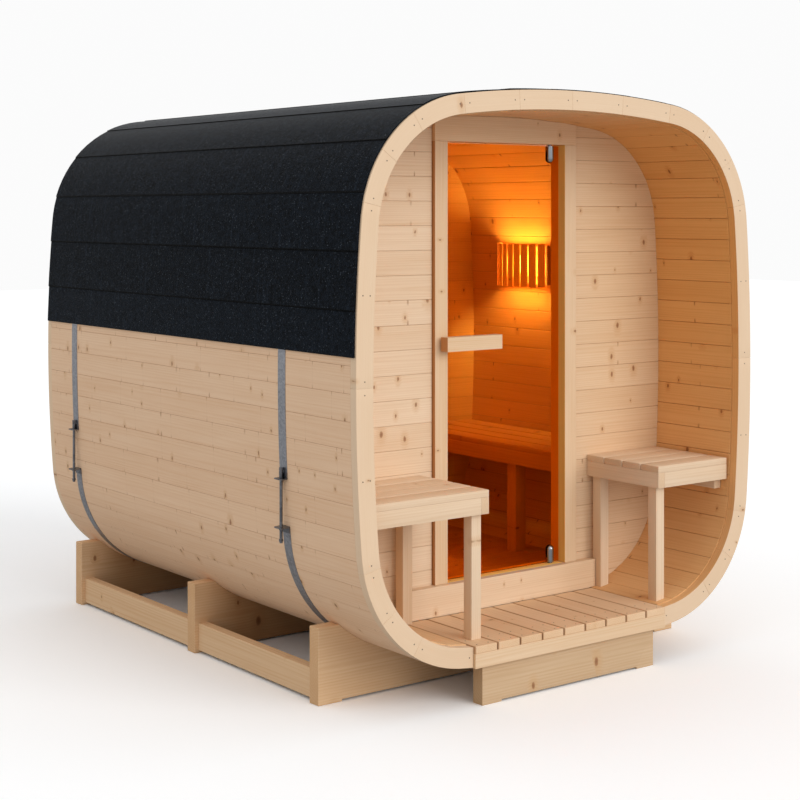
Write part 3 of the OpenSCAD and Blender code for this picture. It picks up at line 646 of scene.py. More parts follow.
def layBlanks(tree, given, points, **marks):  # a numbered blank on each point
    sockets = {"Points": points, "Instance": fromObject(tree, given["Blank"], True)}
    laid = addNode(tree, "GeometryNodeInstanceOnPoints", sockets).outputs[0]
    index = addNode(tree, "GeometryNodeInputIndex").outputs[0]
    laid = storeValue(tree, laid, "board", index, "INT", "INSTANCE")
    for name, value in marks.items():
        laid = storeValue(tree, laid, name, value, "FLOAT", "INSTANCE")
    laid = addNode(tree, "GeometryNodeRealizeInstances", {0: laid}).outputs[0]
    return laid, readValue(tree, "board", "INT")


def bendOnto(tree, geometry, given, girth, depth, height):  # so far round the guide, back and outwards
    share = maths(tree, "FRACT", maths(tree, "DIVIDE", girth, given["Guide Girth"]))
    sockets = {"Curves": fromObject(tree, given["Guide"]), "Factor": share}
    sample = addNode(tree, "GeometryNodeSampleCurve", sockets, mode="FACTOR", data_type="FLOAT").outputs
    outward = vectorMaths(tree, "CROSS_PRODUCT", (0, 1, 0), sample["Tangent"])
    lifted = addNode(tree, "ShaderNodeVectorMath", {0: outward, "Scale": height}, operation="SCALE")
    point = vectorMaths(tree, "ADD", sample["Position"], lifted.outputs[0])
    point = vectorMaths(tree, "ADD", point, combine(tree, 0.0, depth))
    placed = addNode(tree, "GeometryNodeSetPosition", {"Geometry": geometry, "Position": point}).outputs[0]
    return addNode(tree, "GeometryNodeFlipFaces", {"Mesh": placed}).outputs[0]  # the bend turns faces inwards


def closeGrower(tree, geometry, given):
    realised = addNode(tree, "GeometryNodeRealizeInstances", {0: geometry}).outputs[0]
    done = addNode(tree, "GeometryNodeSetMaterial", {"Geometry": realised, "Material": given["Finish"]})
    addNode(tree, "NodeGroupOutput", {0: done.outputs[0]})
    return tree


def bentBoardsTree():  # boards side by side round a guide outline, bent to it
    tree, given = newGrower("bent_boards", {
        "Blank": "Object", "Guide": "Object", "Guide Girth": "Float", "Count": "Int", "First Girth": "Float",
        "Pitch": "Float", "Seed": "Int"})
    row = addNode(tree, "GeometryNodeMeshLine", {"Count": given["Count"], "Offset": (0, 0, 0)}).outputs[0]
    boards, board = layBlanks(tree, given, row)
    boards = scatterGrain(tree, boards, board, given["Seed"])
    x, y, z = separate(tree, addNode(tree, "GeometryNodeInputPosition").outputs[0])
    step = times(tree, maths(tree, "ADD", board, 0.5), given["Pitch"])
    girth = maths(tree, "ADD", maths(tree, "ADD", step, given["First Girth"]), x)
    return closeGrower(tree, bendOnto(tree, boards, given, girth, y, z), given)


def ringSegmentsTree():  # lengths of ring bent round a guide, one for each point of the plan
    tree, given = newGrower("ring_segments", {
        "Blank": "Object", "Plan": "Object", "Guide": "Object", "Guide Girth": "Float", "Gap": "Float",
        "Seed": "Int"})
    middle = separate(tree, addNode(tree, "GeometryNodeInputPosition").outputs[0])[0]
    laid, block = layBlanks(tree, given, fromObject(tree, given["Plan"]), blockMiddle=middle)
    blockMiddle = readValue(tree, "blockMiddle")
    x, y, z = separate(tree, addNode(tree, "GeometryNodeInputPosition").outputs[0])
    length = maths(tree, "SUBTRACT", readValue(tree, "length"), given["Gap"])
    stretch = times(tree, maths(tree, "SUBTRACT", x, blockMiddle), length)
    grain = vectorMaths(tree, "MULTIPLY", readValue(tree, "grain", "FLOAT_VECTOR"), (0, 1, 1))
    grain = vectorMaths(tree, "ADD", grain, combine(tree, stretch))
    laid = storeValue(tree, laid, "grain", grain, "FLOAT_VECTOR")
    laid = scatterGrain(tree, laid, block, given["Seed"])
    girth = maths(tree, "ADD", blockMiddle, stretch)
    return closeGrower(tree, bendOnto(tree, laid, given, girth, y, z), given)


def rowTree():  # a blank repeated at even steps
    tree, given = newGrower("board_row", {
        "Blank": "Object", "Count": "Int", "Start": "Vector", "Step": "Vector", "Seed": "Int"})
    row = addNode(tree, "GeometryNodeMeshLine", {
        "Count": given["Count"], "Start Location": given["Start"], "Offset": given["Step"]}).outputs[0]
    boards, board = layBlanks(tree, given, row)
    return closeGrower(tree, scatterGrain(tree, boards, board, given["Seed"]), given)


def headsTree():  # nail and screw heads, one on each point of a plan, facing out of the timber
    tree, given = newGrower("fastener_heads", {"Head": "Object", "Plan": "Object"})
    facing = readValue(tree, "facing", "FLOAT_VECTOR")
    turn = addNode(tree, "FunctionNodeAlignRotationToVector", {"Vector": facing}, axis="Z").outputs[0]
    heads = addNode(tree, "GeometryNodeInstanceOnPoints", {
        "Points": fromObject(tree, given["Plan"]), "Instance": fromObject(tree, given["Head"], True),
        "Rotation": turn}).outputs[0]
    return closeGrower(tree, heads, given)


def grow(name, tree, material, slot, values, replaced=()):  # keeps the grower's result as a plain mesh
    host = addPiece(name + "_host", bpy.data.meshes.new(name + "_host"))
    modifier = host.modifiers.new("grower", "NODES")
    modifier.node_group = tree
    values = dict(values, Finish=material)
    for item in tree.interface.items_tree:
        if item.in_out == "INPUT" and item.name in values:
            modifier[item.identifier] = values[item.name]
    host.update_tag()
    bpy.context.view_layer.update()
    mesh = bpy.data.meshes.new_from_object(host.evaluated_get(bpy.context.evaluated_depsgraph_get()))
    mesh.name = name
    bpy.data.objects.remove(host)
    return finishPiece(addPiece(name, mesh), material, slot, replaced)


bentBoards, ringSegments = bentBoardsTree(), ringSegmentsTree()
boardRow, fastenerHeads = rowTree(), headsTree()


def guideCurve(name, inset, steps=720):
    curve = bpy.data.curves.new(name, "CURVE")
    curve.dimensions = "3D"
    spline = curve.splines.new("POLY")
    spline.points.add(steps - 1)
    for i, point in enumerate(spline.points):
        point.co = (*outlineAt(wholeGirth * i / steps, inset)[0], 1.0)
    spline.use_cyclic_u = True
    return addHelper(name, curve)


# a board blank: its profile is drawn across and through, and it runs along Y
def boardProfile(width, depth, chamfer, gap, steps, facing=1):
    half = width / 2 - gap
    face = [(-half + chamfer + (2 * half - 2 * chamfer) * i / steps, 0.0) for i in range(steps + 1)]
    back = [(half - 2 * half * i / steps, -depth) for i in range(steps + 1)]
    profile = [(-half, -chamfer)] + face + [(half, -chamfer)] + back
    return [(x, z * facing) for x, z in profile]


def boardBlank(name, profile, fromY, toY, endChamfer=0.0):
    lowX, highX = min(p[0] for p in profile), max(p[0] for p in profile)
    lowZ, highZ = min(p[1] for p in profile), max(p[1] for p in profile)

    def ring(y, inset):
        return [(min(max(x, lowX + inset), highX - inset), y, min(max(z, lowZ + inset), highZ - inset))
                for x, z in profile]

    loops = easedLoops(ring, fromY, toY, endChamfer) if endChamfer else [ring(fromY, 0.0), ring(toY, 0.0)]
    blank = addHelper(name, loftMesh(name, [loops]))
    points = [v.co for v in blank.data.vertices]
    storeNumbers(blank.data, "grain", [(p.y, p.x, p.z) for p in points])
    storeNumbers(blank.data, "side", [(p.x - (lowX + highX) / 2) / ((highX - lowX) / 2) for p in points])
    return blank


# outer staves
staves = {"wantedWidth": 0.1, "chamfer": 0.0009, "gap": 0.0002, "steps": 4, "seed": 11, "firstAt": -0.3}
stavesFront, stavesRear = shellLow.y, shellHigh.y
staveCount = round(wholeGirth / staves["wantedWidth"])
stavePitch = wholeGirth / staveCount
outerGuide = guideCurve("outer_guide", 0.0)
staveProfile = boardProfile(stavePitch, shell["staveDepth"], staves["chamfer"], staves["gap"],
                            staves["steps"])
staveBlank = boardBlank("stave_blank", staveProfile, stavesFront, stavesRear)
outer = {"Guide": outerGuide, "Guide Girth": wholeGirth}
grow("outer_staves", bentBoards, staveTimber, "spruce", {
    **outer, "Blank": staveBlank, "Count": staveCount, "First Girth": stavePitch * staves["firstAt"],
    "Pitch": stavePitch, "Seed": staves["seed"]}, ["shell_" + part for part in (
        "floor", "lower_left", "left", "upper_left", "top", "upper_right", "right", "lower_right")])

# lining boards, from one edge of the deck round to the other
lining = {"wantedWidth": 0.092, "depth": 0.018, "chamfer": 0.0022, "gap": 0.0003, "steps": 3, "seed": 5,
          "setBack": 0.001}
liningInset = shell["wallDepth"]
liningGuide = guideCurve("lining_guide", liningInset)


def insetGirthAt(girth, inset):  # how far along the inner guide the same direction is
    turn, along = quarterOf(girth)
    inner = min(along, sideGirth) * (1 - inset / shell["sideBow"])
    inner += min(max(along - sideGirth, 0), cornerGirth) * (1 - inset / shell["cornerRadius"])
    inner += max(along - sideGirth - cornerGirth, 0) * (1 - inset / shell["topBow"])
    innerQuarter = quarterGirth - inset * math.pi / 2
    return turn * innerQuarter + (innerQuarter - inner if turn % 2 else inner)


firstLining = insetGirthAt(girthAt(3, 0, shell["liningEdge"], liningInset) - wholeGirth, liningInset)
lastLining = insetGirthAt(girthAt(2, 0, -shell["liningEdge"], liningInset), liningInset)
liningCount = round((lastLining - firstLining) / lining["wantedWidth"])
liningPitch = (lastLining - firstLining) / liningCount
liningProfile = boardProfile(liningPitch, lining["depth"], lining["chamfer"], lining["gap"],
                             lining["steps"], -1)
liningBlank = boardBlank("lining_blank", liningProfile, stavesFront + lining["setBack"],
                         stavesRear - lining["setBack"])
grow("lining_boards", bentBoards, liningTimber, "spruce", {
    "Blank": liningBlank, "Guide": liningGuide, "Guide Girth": wholeGirth - 2 * math.pi * liningInset,
    "Count": liningCount, "First Girth": firstLining, "Pitch": liningPitch, "Seed": lining["seed"]})
print("shell boards made:", staveCount, "staves,", liningCount, "lining boards")


# end rings: lengths of board butted together, three to a corner
def lengthBlank(name, width, depth, chamfer, steps, lift=0.0):  # of unit length along X, to be bent
    section = [(-depth + chamfer, -width), (-chamfer, -width), (0.0, -width + chamfer), (0.0, -chamfer),
               (-chamfer, 0.0), (-depth + chamfer, 0.0), (-depth, -chamfer), (-depth, -width + chamfer)]
    middle = (-depth / 2, -width / 2)

    def ring(x, shrink):
        return [(x, middle[0] + (y - middle[0]) * (1 - shrink / depth * 2),
                 lift + middle[1] + (z - middle[1]) * (1 - shrink / width * 2)) for y, z in section]

    loops = [ring(-0.5, chamfer)] + [ring(-0.496 + 0.992 * i / steps, 0.0) for i in range(steps + 1)]
    blank = addHelper(name, loftMesh(name, [loops + [ring(0.5, chamfer)]]))
    points = [v.co for v in blank.data.vertices]
    storeNumbers(blank.data, "grain", [(p.x, p.z - lift + width / 2, p.y) for p in points])
    return blank


def planPoints(name, points, **values):  # a helper's points, each with its own numbers
    mesh = bpy.data.meshes.new(name)
    mesh.from_pydata([tuple(p) for p in points], [], [])
    for key, given in values.items():
        storeNumbers(mesh, key, given)
    return addHelper(name, mesh)


# nails and screws: a low domed head on each point of a plan
heads = {"radius": 0.0027, "proud": 0.0006, "sunk": 0.0006, "sides": 10,
         "dome": ((1.0, 0.3), (0.75, 0.8), (0.35, 1.0))}


def driveHeads(name, places):  # places: a point and its facing
    plan = planPoints(name + "_plan", [p for p, _ in places], facing=[f for _, f in places])
    levels = [(1.0, -heads["sunk"])] + [(share, heads["proud"] * height) for share, height in heads["dome"]]
    turns = [2 * math.pi * i / heads["sides"] for i in range(heads["sides"])]
    loops = [[(heads["radius"] * share * math.cos(turn), heads["radius"] * share * math.sin(turn), height)
              for turn in turns] for share, height in levels]
    head = addHelper(name + "_blank", loftMesh(name + "_blank", [loops]))
    grow(name, fastenerHeads, screwSteel, "spruce", {"Head": head, "Plan": plan})


ring = {"depth": 0.036, "chamfer": 0.0008, "gap": 0.0003, "marks": (0.0, 0.662, 0.87, 1.065, 1.317, 1.592),
        "shortest": 0.05, "steps": 14, "seed": 23, "sawCut": 0.0005, "sawnUpTo": 0.05}
ringNails = {"fromJoint": 0.024, "middle": 0.038, "pair": (0.022, 0.054), "longBoard": 0.3}
ringQuarters = ("lower_left", "upper_left", "upper_right", "lower_right")
beamLow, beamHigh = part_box("porch_beam")


def ringJoints(fromGirth, toGirth):
    marks = {fromGirth, toGirth}
    for turn in range(-1, 4):
        for along in ring["marks"] + (quarterGirth,):
            mark = turn * quarterGirth + (quarterGirth - along if turn % 2 else along)
            if fromGirth + ring["shortest"] < mark < toGirth - ring["shortest"]:
                marks.add(round(mark, 5))
    return sorted(marks)


def makeRing(name, fromGirth, toGirth, farY, seed):
    marks = ringJoints(fromGirth, toGirth)
    middles = [((a + b) / 2, farY, 0.0) for a, b in zip(marks, marks[1:])]
    blank = lengthBlank(name + "_blank", shell["ringWidth"], ring["depth"], ring["chamfer"], ring["steps"])
    plan = planPoints(name + "_plan", middles, length=[b - a for a, b in zip(marks, marks[1:])])
    piece = grow(name, ringSegments, ringTimber, "spruce", {
        **outer, "Blank": blank, "Plan": plan, "Gap": ring["gap"], "Seed": seed},
        [name + "_" + part for part in ringQuarters])
    piece.data.materials.append(liningTimber)
    for face in piece.data.polygons:  # the inner side takes the lining's finish with its painted porch shade, but for the lower left
        inwards = -(face.normal.x * face.center.x + face.normal.z * (face.center.z - shellMiddle))
        paleCorner = face.center.x < 0 and face.center.z < shellMiddle
        if abs(face.normal.y) < 0.3 and inwards > 0.4 and not paleCorner:
            face.material_index = 1
    return piece, marks


def ringNailPlaces(marks, faceY, facing, closed):
    spots = []
    for number, mark in enumerate(marks):
        for side in (-1, 1):
            if closed or not (number == 0 and side < 0 or number == len(marks) - 1 and side > 0):
                spots.append((mark + side * ringNails["fromJoint"], ringNails["middle"]))
    for start, end in zip(marks, marks[1:]):
        if end - start > ringNails["longBoard"]:
            spots += [((start + end) / 2, inset) for inset in ringNails["pair"]]
    points = [outlineAt(*spot)[0] for spot in spots]
    return [((point.x, faceY, point.z), facing) for point in points]


beamRight, beamLeft = girthAt(3, 0, beamHigh.x) - wholeGirth, girthAt(2, 0, beamLow.x)
frontRing, frontMarks = makeRing("front_ring", beamRight, beamLeft, stavesFront, ring["seed"])
sawnAt = beamHigh.x + ring["sawCut"]
for vertex in frontRing.data.vertices:  # its two lower ends are sawn upright beside the beam
    if vertex.co.z < beamHigh.z + ring["sawnUpTo"] and abs(vertex.co.x) < sawnAt:
        vertex.co.x = math.copysign(sawnAt, vertex.co.x)
rearFace = boxOf("rear_ring_lower_left", "rear_ring_upper_right")[1].y - heads["proud"]
rearMarks = makeRing("rear_ring", 0.0, wholeGirth, rearFace, ring["seed"] + 4)[1]
driveHeads("front_ring_nails", ringNailPlaces(frontMarks, stavesFront - ring["depth"], (0, -1, 0), False))
driveHeads("rear_ring_nails", ringNailPlaces(rearMarks, rearFace, (0, 1, 0), True))

# walls and floors of matched boards, cut to the lining
sectionInset = shell["wallDepth"] + shell["clearance"]
farOut = 1.2  # past the shell's side
wallBoards = {"chamfer": 0.0016, "gap": 0.0002, "edgeGap": 0.003, "leftPitch": 0.0986, "rightPitch": 0.0993,
              "leftFrom": 0.2182, "rightFrom": 0.1865}


def wallPiece(name, node, walls, x0, x1, side, seed):
    low, high = walls
    start, pitch, gap = wallBoards[side + "From"], wallBoards[side + "Pitch"], wallBoards["gap"]
    lofts = []
    for k in range(math.ceil((high.z - start) / pitch)):
        z0, z1 = start + k * pitch + gap, start + (k + 1) * pitch - gap
        cut = clipToOutline([(x0, z0), (x1, z0), (x1, z1), (x0, z1)], sectionInset)

        def ring(y, inset):
            return [(x, y, min(max(z, z0 + inset), z1 - inset)) for x, z in cut]

        if len(cut) > 2:
            lofts.append(easedLoops(ring, low.y, high.y, wallBoards["chamfer"]))
    piece = dressBoards(addPiece(name, loftMesh(name, lofts)), (0, 2, 1), seed, matched=True)
    return finishPiece(piece, wallTimber, "spruce", [node])


frontWalls = boxOf("front_wall_left", "front_wall_right")
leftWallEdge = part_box("front_wall_left")[1].x - wallBoards["edgeGap"]
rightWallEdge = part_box("front_wall_right")[0].x + wallBoards["edgeGap"]
wallPiece("wall_boards_left", "front_wall_left", frontWalls, -farOut, leftWallEdge, "left", 31)
wallPiece("wall_boards_right", "front_wall_right", frontWalls, rightWallEdge, farOut, "right", 37)
wallPiece("wall_boards_rear", "rear_wall", boxOf("rear_wall"), -farOut, farOut, "left", 41)

floorBoards = {"pitch": 0.095, "chamfer": 0.002, "gap": 0.0008, "seed": 47}
floorLow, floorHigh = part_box("room_floor")
floorSpan = ((-farOut, floorLow.z), (farOut, floorLow.z), (farOut, floorHigh.z), (-farOut, floorHigh.z))
floorCut = clipToOutline(floorSpan, sectionInset)


def floorRing(y, inset):
    return [(x, y, min(z, floorHigh.z - inset)) for x, z in floorCut]


floorCount = round((floorHigh.y - floorLow.y) / floorBoards["pitch"])
floorPitch = (floorHigh.y - floorLow.y) / floorCount
roomFloor = addPiece("room_floor_boards", loftMesh("room_floor_boards", [
    easedLoops(floorRing, floorLow.y + k * floorPitch + floorBoards["gap"],
               floorLow.y + (k + 1) * floorPitch - floorBoards["gap"], floorBoards["chamfer"])
    for k in range(floorCount)]))
finishPiece(dressBoards(roomFloor, (0, 1, 2), floorBoards["seed"]), roomTimber, "spruce", ["room_floor"])

slats = {"count": 9, "gap": 0.005, "chamfer": 0.0022, "nails": (0.22, 0.72), "seed": 53}
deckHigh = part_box("deck_slats")[1]


def slatPitch(low, high):
    return (high.x - low.x + slats["gap"]) / slats["count"]


def slatRow(name, node, seed):
    low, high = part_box(node)
    pitch = slatPitch(low, high)
    profile = boardProfile(pitch - slats["gap"], high.z - low.z, slats["chamfer"], 0.0, 1)
    blank = boardBlank(name + "_blank", profile, low.y, high.y, slats["chamfer"])
    grow(name, boardRow, deckTimber, "spruce", {
        "Blank": blank, "Count": slats["count"], "Start": (low.x + (pitch - slats["gap"]) / 2, 0.0, high.z),
        "Step": (pitch, 0.0, 0.0), "Seed": seed}, [node])


def solidBoxes(node):  # the corners of each separate timber of a frame node
    mesh = meshOf(node + "_merged", mergedNode(node))
    boxes = [cornersOf([mesh.vertices[i].co for i in island]) for island in islandsOf(mesh)]
    bpy.data.meshes.remove(mesh)
    return sorted(boxes, key=lambda box: (box[0].y, box[0].x))


def slatNailPlaces(node):  # one pair in each slat over each bearer
    low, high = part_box(node)
    stations = [(a.y + b.y) / 2 for a, b in solidBoxes("floor_bearers") if low.y < a.y and b.y < high.y]
    if node == "deck_slats":
        stations.append(low.y + (beamHigh.y - beamLow.y) / 2)
    return [((low.x + slatPitch(low, high) * (k + share), y, high.z), (0, 0, 1))
            for y in stations for k in range(slats["count"]) for share in slats["nails"]]


slatRow("deck_boards", "deck_slats", slats["seed"])
slatRow("rear_deck_boards", "rear_deck", slats["seed"] + 1)
driveHeads("deck_nails", slatNailPlaces("deck_slats") + slatNailPlaces("rear_deck"))
print("walls and floors made")


# plain timbers: the frame's own shapes with eased edges and grain
def timberPiece(name, node, material, slot, axes, width, seed):
    piece = dressBoards(roundedCopy(name, node, width), axes, seed)
    return finishPiece(piece, material, slot, [node])


lengthways, upright, sawn = (0, 2, 1), (2, 0, 1), "cradle_timber"
for name, node, material, slot, axes, ease, seed in (
        ("cradle_sawn_board_front", "cradle_board_front", cradleTimber, sawn, lengthways, 0.003, 60),
        ("cradle_sawn_board_middle", "cradle_board_middle", bayShadeTimber, sawn, lengthways, 0.003, 61),
        ("cradle_sawn_board_rear", "cradle_board_rear", bayShadeTimber, sawn, lengthways, 0.003, 62),
        ("cradle_sawn_rails", "cradle_rails", cradleTimber, sawn, longestAlong, 0.003, 63),
        ("cradle_sawn_cleats", "cradle_cleats", bayShadeTimber, sawn, upright, 0.003, 64),
        ("support_board", "porch_support", supportShadeTimber, sawn, lengthways, 0.003, 65),
        ("beam_timber", "porch_beam", spruce, "spruce", lengthways, 0.0025, 71),
        ("bearer_timbers", "floor_bearers", cradleTimber, "spruce", lengthways, 0.002, 73),
        ("header_timber", "door_header", deckTimber, "spruce", lengthways, 0.002, 79)):
    timberPiece(name, node, material, slot, axes, ease, seed)

jambs = timberPiece("jamb_timbers", "door_jambs", spruce, "spruce", upright, 0.003, 83)
jambs.data.materials.append(revealGlowTimber)
jambs.data.materials.append(edgeShadeTimber)
jambLow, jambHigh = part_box("door_jambs")
leafLow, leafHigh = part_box("door_glass")
for face in jambs.data.polygons:  # the side faces: painted warm glow from the lit room beside the leaf, and painted shade in the room's brown on their outer sides
    if abs(face.normal.x) > 0.9:
        besideLeaf = min(abs(face.center.x - leafLow.x), abs(face.center.x - leafHigh.x)) < 0.02
        face.material_index = 1 if besideLeaf else 2
threshold = {"thickness": 0.0008, "sunk": 0.0004, "setBack": 0.012, "rearSetBack": 0.001, "ease": 0.0003}
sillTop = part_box("door_sill")[1].z
stripLow = (leafLow.x, jambLow.y + threshold["setBack"], sillTop - threshold["sunk"])
stripHigh = (leafHigh.x, jambHigh.y - threshold["rearSetBack"], sillTop + threshold["thickness"])
# the threshold strip shares the reveal's painted warm glow
beamPiece("threshold_strip", [(stripLow, stripHigh)], threshold["ease"], (0, 1, 2), 91, revealGlowTimber,
          "spruce")
timberPiece("sill_timber", "door_sill", wallTimber, "spruce", lengthways, 0.0022, 89)

# seats and bench, beam by beam
seatBuild = {"slats": 4, "gap": 0.008, "board": 0.038, "apron": 0.064, "leg": 0.047, "frontLegAt": 0.028,
             "rearLegAt": 0.02, "legsIn": {-1: (0.016, 0.092), 1: (0.016, 0.016)}, "legLap": 0.01,
             "ledger": 0.034, "ledgerDrop": 0.044, "ledgerLap": 0.02, "ease": 0.0022}
bench = {"slats": 4, "gap": 0.010, "apron": 0.063, "front": 0.04, "rear": 0.03, "rearLift": 0.004,
         "legWidth": 0.06, "legForward": 0.140, "brace": 0.045, "ease": 0.002}


def wallReach(height):  # half the width inside the lining at a height
    turn = 0 if height > shellMiddle else 3
    return outlineAt(girthAt(turn, 2, height, sectionInset), sectionInset)[0].x


def liningTop(x):  # the lining's height beside the deck
    return outlineAt(girthAt(3, 0, x, shell["wallDepth"]), shell["wallDepth"])[0].z


def slatBoxes(low, high, axis, build):  # even slats across one direction of a box
    pitch = (high[axis] - low[axis] + build["gap"]) / build["slats"]
    boxes = []
    for k in range(build["slats"]):
        start, end = Vector(low), Vector(high)
        start[axis], end[axis] = low[axis] + k * pitch, low[axis] + (k + 1) * pitch - build["gap"]
        boxes.append((start, end))
    return boxes


def seatPieces(side, label):
    topLow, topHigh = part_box(label + "_top")
    inner, outer = (topHigh.x, topLow.x) if side < 0 else (topLow.x, topHigh.x)
    front, back, apronTop = topLow.y, topHigh.y, topLow.z
    beamPiece(label + "_slats", slatBoxes(topLow, topHigh, 1, seatBuild), seatBuild["ease"], (0, 1, 2),
              97 + side, seatTimber, "seat_timber", [label + "_top"])

    board, leg, apronLow = seatBuild["board"], seatBuild["leg"], apronTop - seatBuild["apron"]
    behind, ledgerLow = inner + side * board, apronLow - seatBuild["ledgerDrop"]
    ledgerFront, ledgerBack = front + board + shell["clearance"], back - board - shell["clearance"]
    boxes = [((inner, front, apronLow), (behind, back, apronTop)),
             ((behind, front, apronLow), (outer, front + board, apronTop)),
             ((behind, back - board, apronLow), (outer, back, apronTop)),
             ((outer - side * seatBuild["ledger"], ledgerFront, ledgerLow),
              (side * wallReach(ledgerLow), ledgerBack, apronLow + seatBuild["ledgerLap"]))]
    legsAt = (front + seatBuild["frontLegAt"], back - seatBuild["rearLegAt"] - leg)
    for inset, y in zip(seatBuild["legsIn"][side], legsAt):
        x = inner + side * inset
        far = x + side * leg
        foot = -1.0 if abs(far) > shell["liningEdge"] else deckHigh.z  # past the deck it is cut below
        boxes.append(((x, y, foot), (far, y + leg, apronLow + seatBuild["legLap"])))
    beams = beamSet(label + "_beams", boxes, seatBuild["ease"])
    for vertex in beams.data.vertices:  # a foot on the lining is cut to its curve
        if vertex.co.z < deckHigh.z - 0.01:
            vertex.co.z = max(deckHigh.z, liningTop(abs(vertex.co.x)))
    finishPiece(dressBoards(beams, longestAlong, 101 + side), seatTimber, "seat_timber", [label + "_frame"])


seatPieces(-1, "seat_left")
seatPieces(1, "seat_right")

benchLow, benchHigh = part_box("bench_top")
beamPiece("bench_slats", slatBoxes(benchLow, benchHigh, 0, bench), bench["ease"], (1, 0, 2), 107, roomTimber,
          "seat_timber", ["bench_top"])
benchUnder, benchFront = benchLow.z - bench["apron"], benchLow.x + bench["front"]
benchRear, rearUnder = benchHigh.x - bench["rear"], benchUnder + bench["rearLift"]
benchMiddle = (benchLow.y + benchHigh.y) / 2 - bench["legForward"]
benchBeams = [((benchLow.x, benchLow.y, benchUnder), (benchFront, benchHigh.y, benchLow.z)),
              ((benchRear, benchLow.y, rearUnder), (wallReach(rearUnder), benchHigh.y, benchLow.z)),
              ((benchFront, benchMiddle - bench["legWidth"] / 2, floorHigh.z),
               (benchFront + bench["legWidth"], benchMiddle + bench["legWidth"] / 2, benchUnder))]
for y in (benchLow.y, benchMiddle - bench["brace"] / 2, benchHigh.y - bench["brace"]):
    benchBeams.append(((benchFront, y, benchUnder), (benchRear, y + bench["brace"], benchLow.z)))
beamPiece("bench_beams", benchBeams, bench["ease"], longestAlong, 109, roomTimber, "seat_timber",
          ["bench_frame"])
print("seats and bench made")

# door leaf, its handle and fittings
leaf = roundedCopy("glass_leaf", "door_glass", 0.0008)
finishPiece(leaf, bronzeGlass, "tinted_glass", ["door_glass"], "door", smoothAngle=1)
bar = dressBoards(roundedCopy("handle_bar", "door_handle", 0.004), lengthways, 113)
finishPiece(bar, handleTimber, "spruce", ["door_handle"], "door")
finishPiece(roundedCopy("pivot_clamps", "door_clamps", 0.0006), chrome, "chrome", ["door_clamps"], "door")
finishPiece(roundedCopy("pivot_flanges", "pivot_sockets", 0.0006), chrome, "chrome", ["pivot_sockets"])

# wall lamp: a slatted half-oval shade round its glass
timberPiece("lamp_board", "lamp_back", roomTimber, "spruce", (2, 1, 0), 0.002, 127)
lamp = {"slats": 9, "gap": 0.0052, "slatDepth": 0.009, "slatsOut": 0.003, "ease": 0.002, "rimHeight": 0.005,
        "rimLift": 0.046, "rimSteps": 24, "rimOuter": 0.0035, "rimInner": 0.002, "bulbEase": 0.004}
lampLow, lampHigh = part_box("lamp_shade")
lampX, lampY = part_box("lamp_back")[0].x, (lampLow.y + lampHigh.y) / 2
lampDepth, lampHalf = lampX - lampLow.x, (lampHigh.y - lampLow.y) / 2


def ovalPoint(inset, angle, z=0.0):
    x, y = lampX - (lampDepth - inset) * math.cos(angle), lampY + (lampHalf - inset) * math.sin(angle)
    return Vector((x, y, z))


def halfTurn(steps):
    return [math.pi * i / steps - math.pi / 2 for i in range(steps + 1)]


def evenOvalAngles(count):  # slats at even distances round the half oval
    turns = halfTurn(400)
    spots = [ovalPoint(lamp["slatDepth"], turn) for turn in turns]
    reach = [0.0]
    for a, b in zip(spots, spots[1:]):
        reach.append(reach[-1] + (b - a).length)
    wanted = [(k + 0.5) * reach[-1] / count for k in range(count)]
    return reach[-1] / count, [min(zip(reach, turns), key=lambda pair: abs(pair[0] - w))[1] for w in wanted]


lampPitch, lampAngles = evenOvalAngles(lamp["slats"])
slatWidth = lampPitch - lamp["gap"]
shapes = bmesh.new()
for angle in lampAngles:
    centre = ovalPoint(lamp["slatDepth"], angle)
    outward = Vector((-(lampHalf - lamp["slatDepth"]) * math.cos(angle),
                      (lampDepth - lamp["slatDepth"]) * math.sin(angle), 0.0)).normalized()
    sideways = Vector((-outward.y, outward.x, 0.0))
    for vertex in bmesh.ops.create_cube(shapes, size=1.0)["verts"]:
        x, y, z = vertex.co
        vertex.co = centre + outward * (lamp["slatsOut"] + x * lamp["slatDepth"]) + sideways * y * slatWidth
        vertex.co.z = lampLow.z if z < 0 else lampHigh.z
bevelSharp(shapes, lamp["ease"])
lampSlats = dressBoards(addPiece("lamp_slats", meshOf("lamp_slats", shapes)), (2, 1, 0), 131)
finishPiece(lampSlats, shadeTimber, "spruce", ["lamp_shade"])
outerRim, innerRim = lamp["slatDepth"] + lamp["rimOuter"], 2 * lamp["slatDepth"] + lamp["rimInner"]
rimLofts = []
for low in (lampLow.z + lamp["rimLift"], lampHigh.z - lamp["rimLift"] - lamp["rimHeight"]):
    high = low + lamp["rimHeight"]
    corners = ((outerRim, low), (outerRim, high), (innerRim, high), (innerRim, low))
    rimLofts.append([[ovalPoint(inset, angle, z) for inset, z in corners]
                     for angle in halfTurn(lamp["rimSteps"])])
rims = addPiece("lamp_rims", loftMesh("lamp_rims", rimLofts))
finishPiece(dressBoards(rims, (1, 2, 0), 137), roomTimber, "spruce")
bulb = roundedCopy("lamp_glass_bulb", "lamp_bulb", lamp["bulbEase"])
finishPiece(bulb, lampGlow, "lamp_glass", ["lamp_bulb"])
print("door and lamp made")

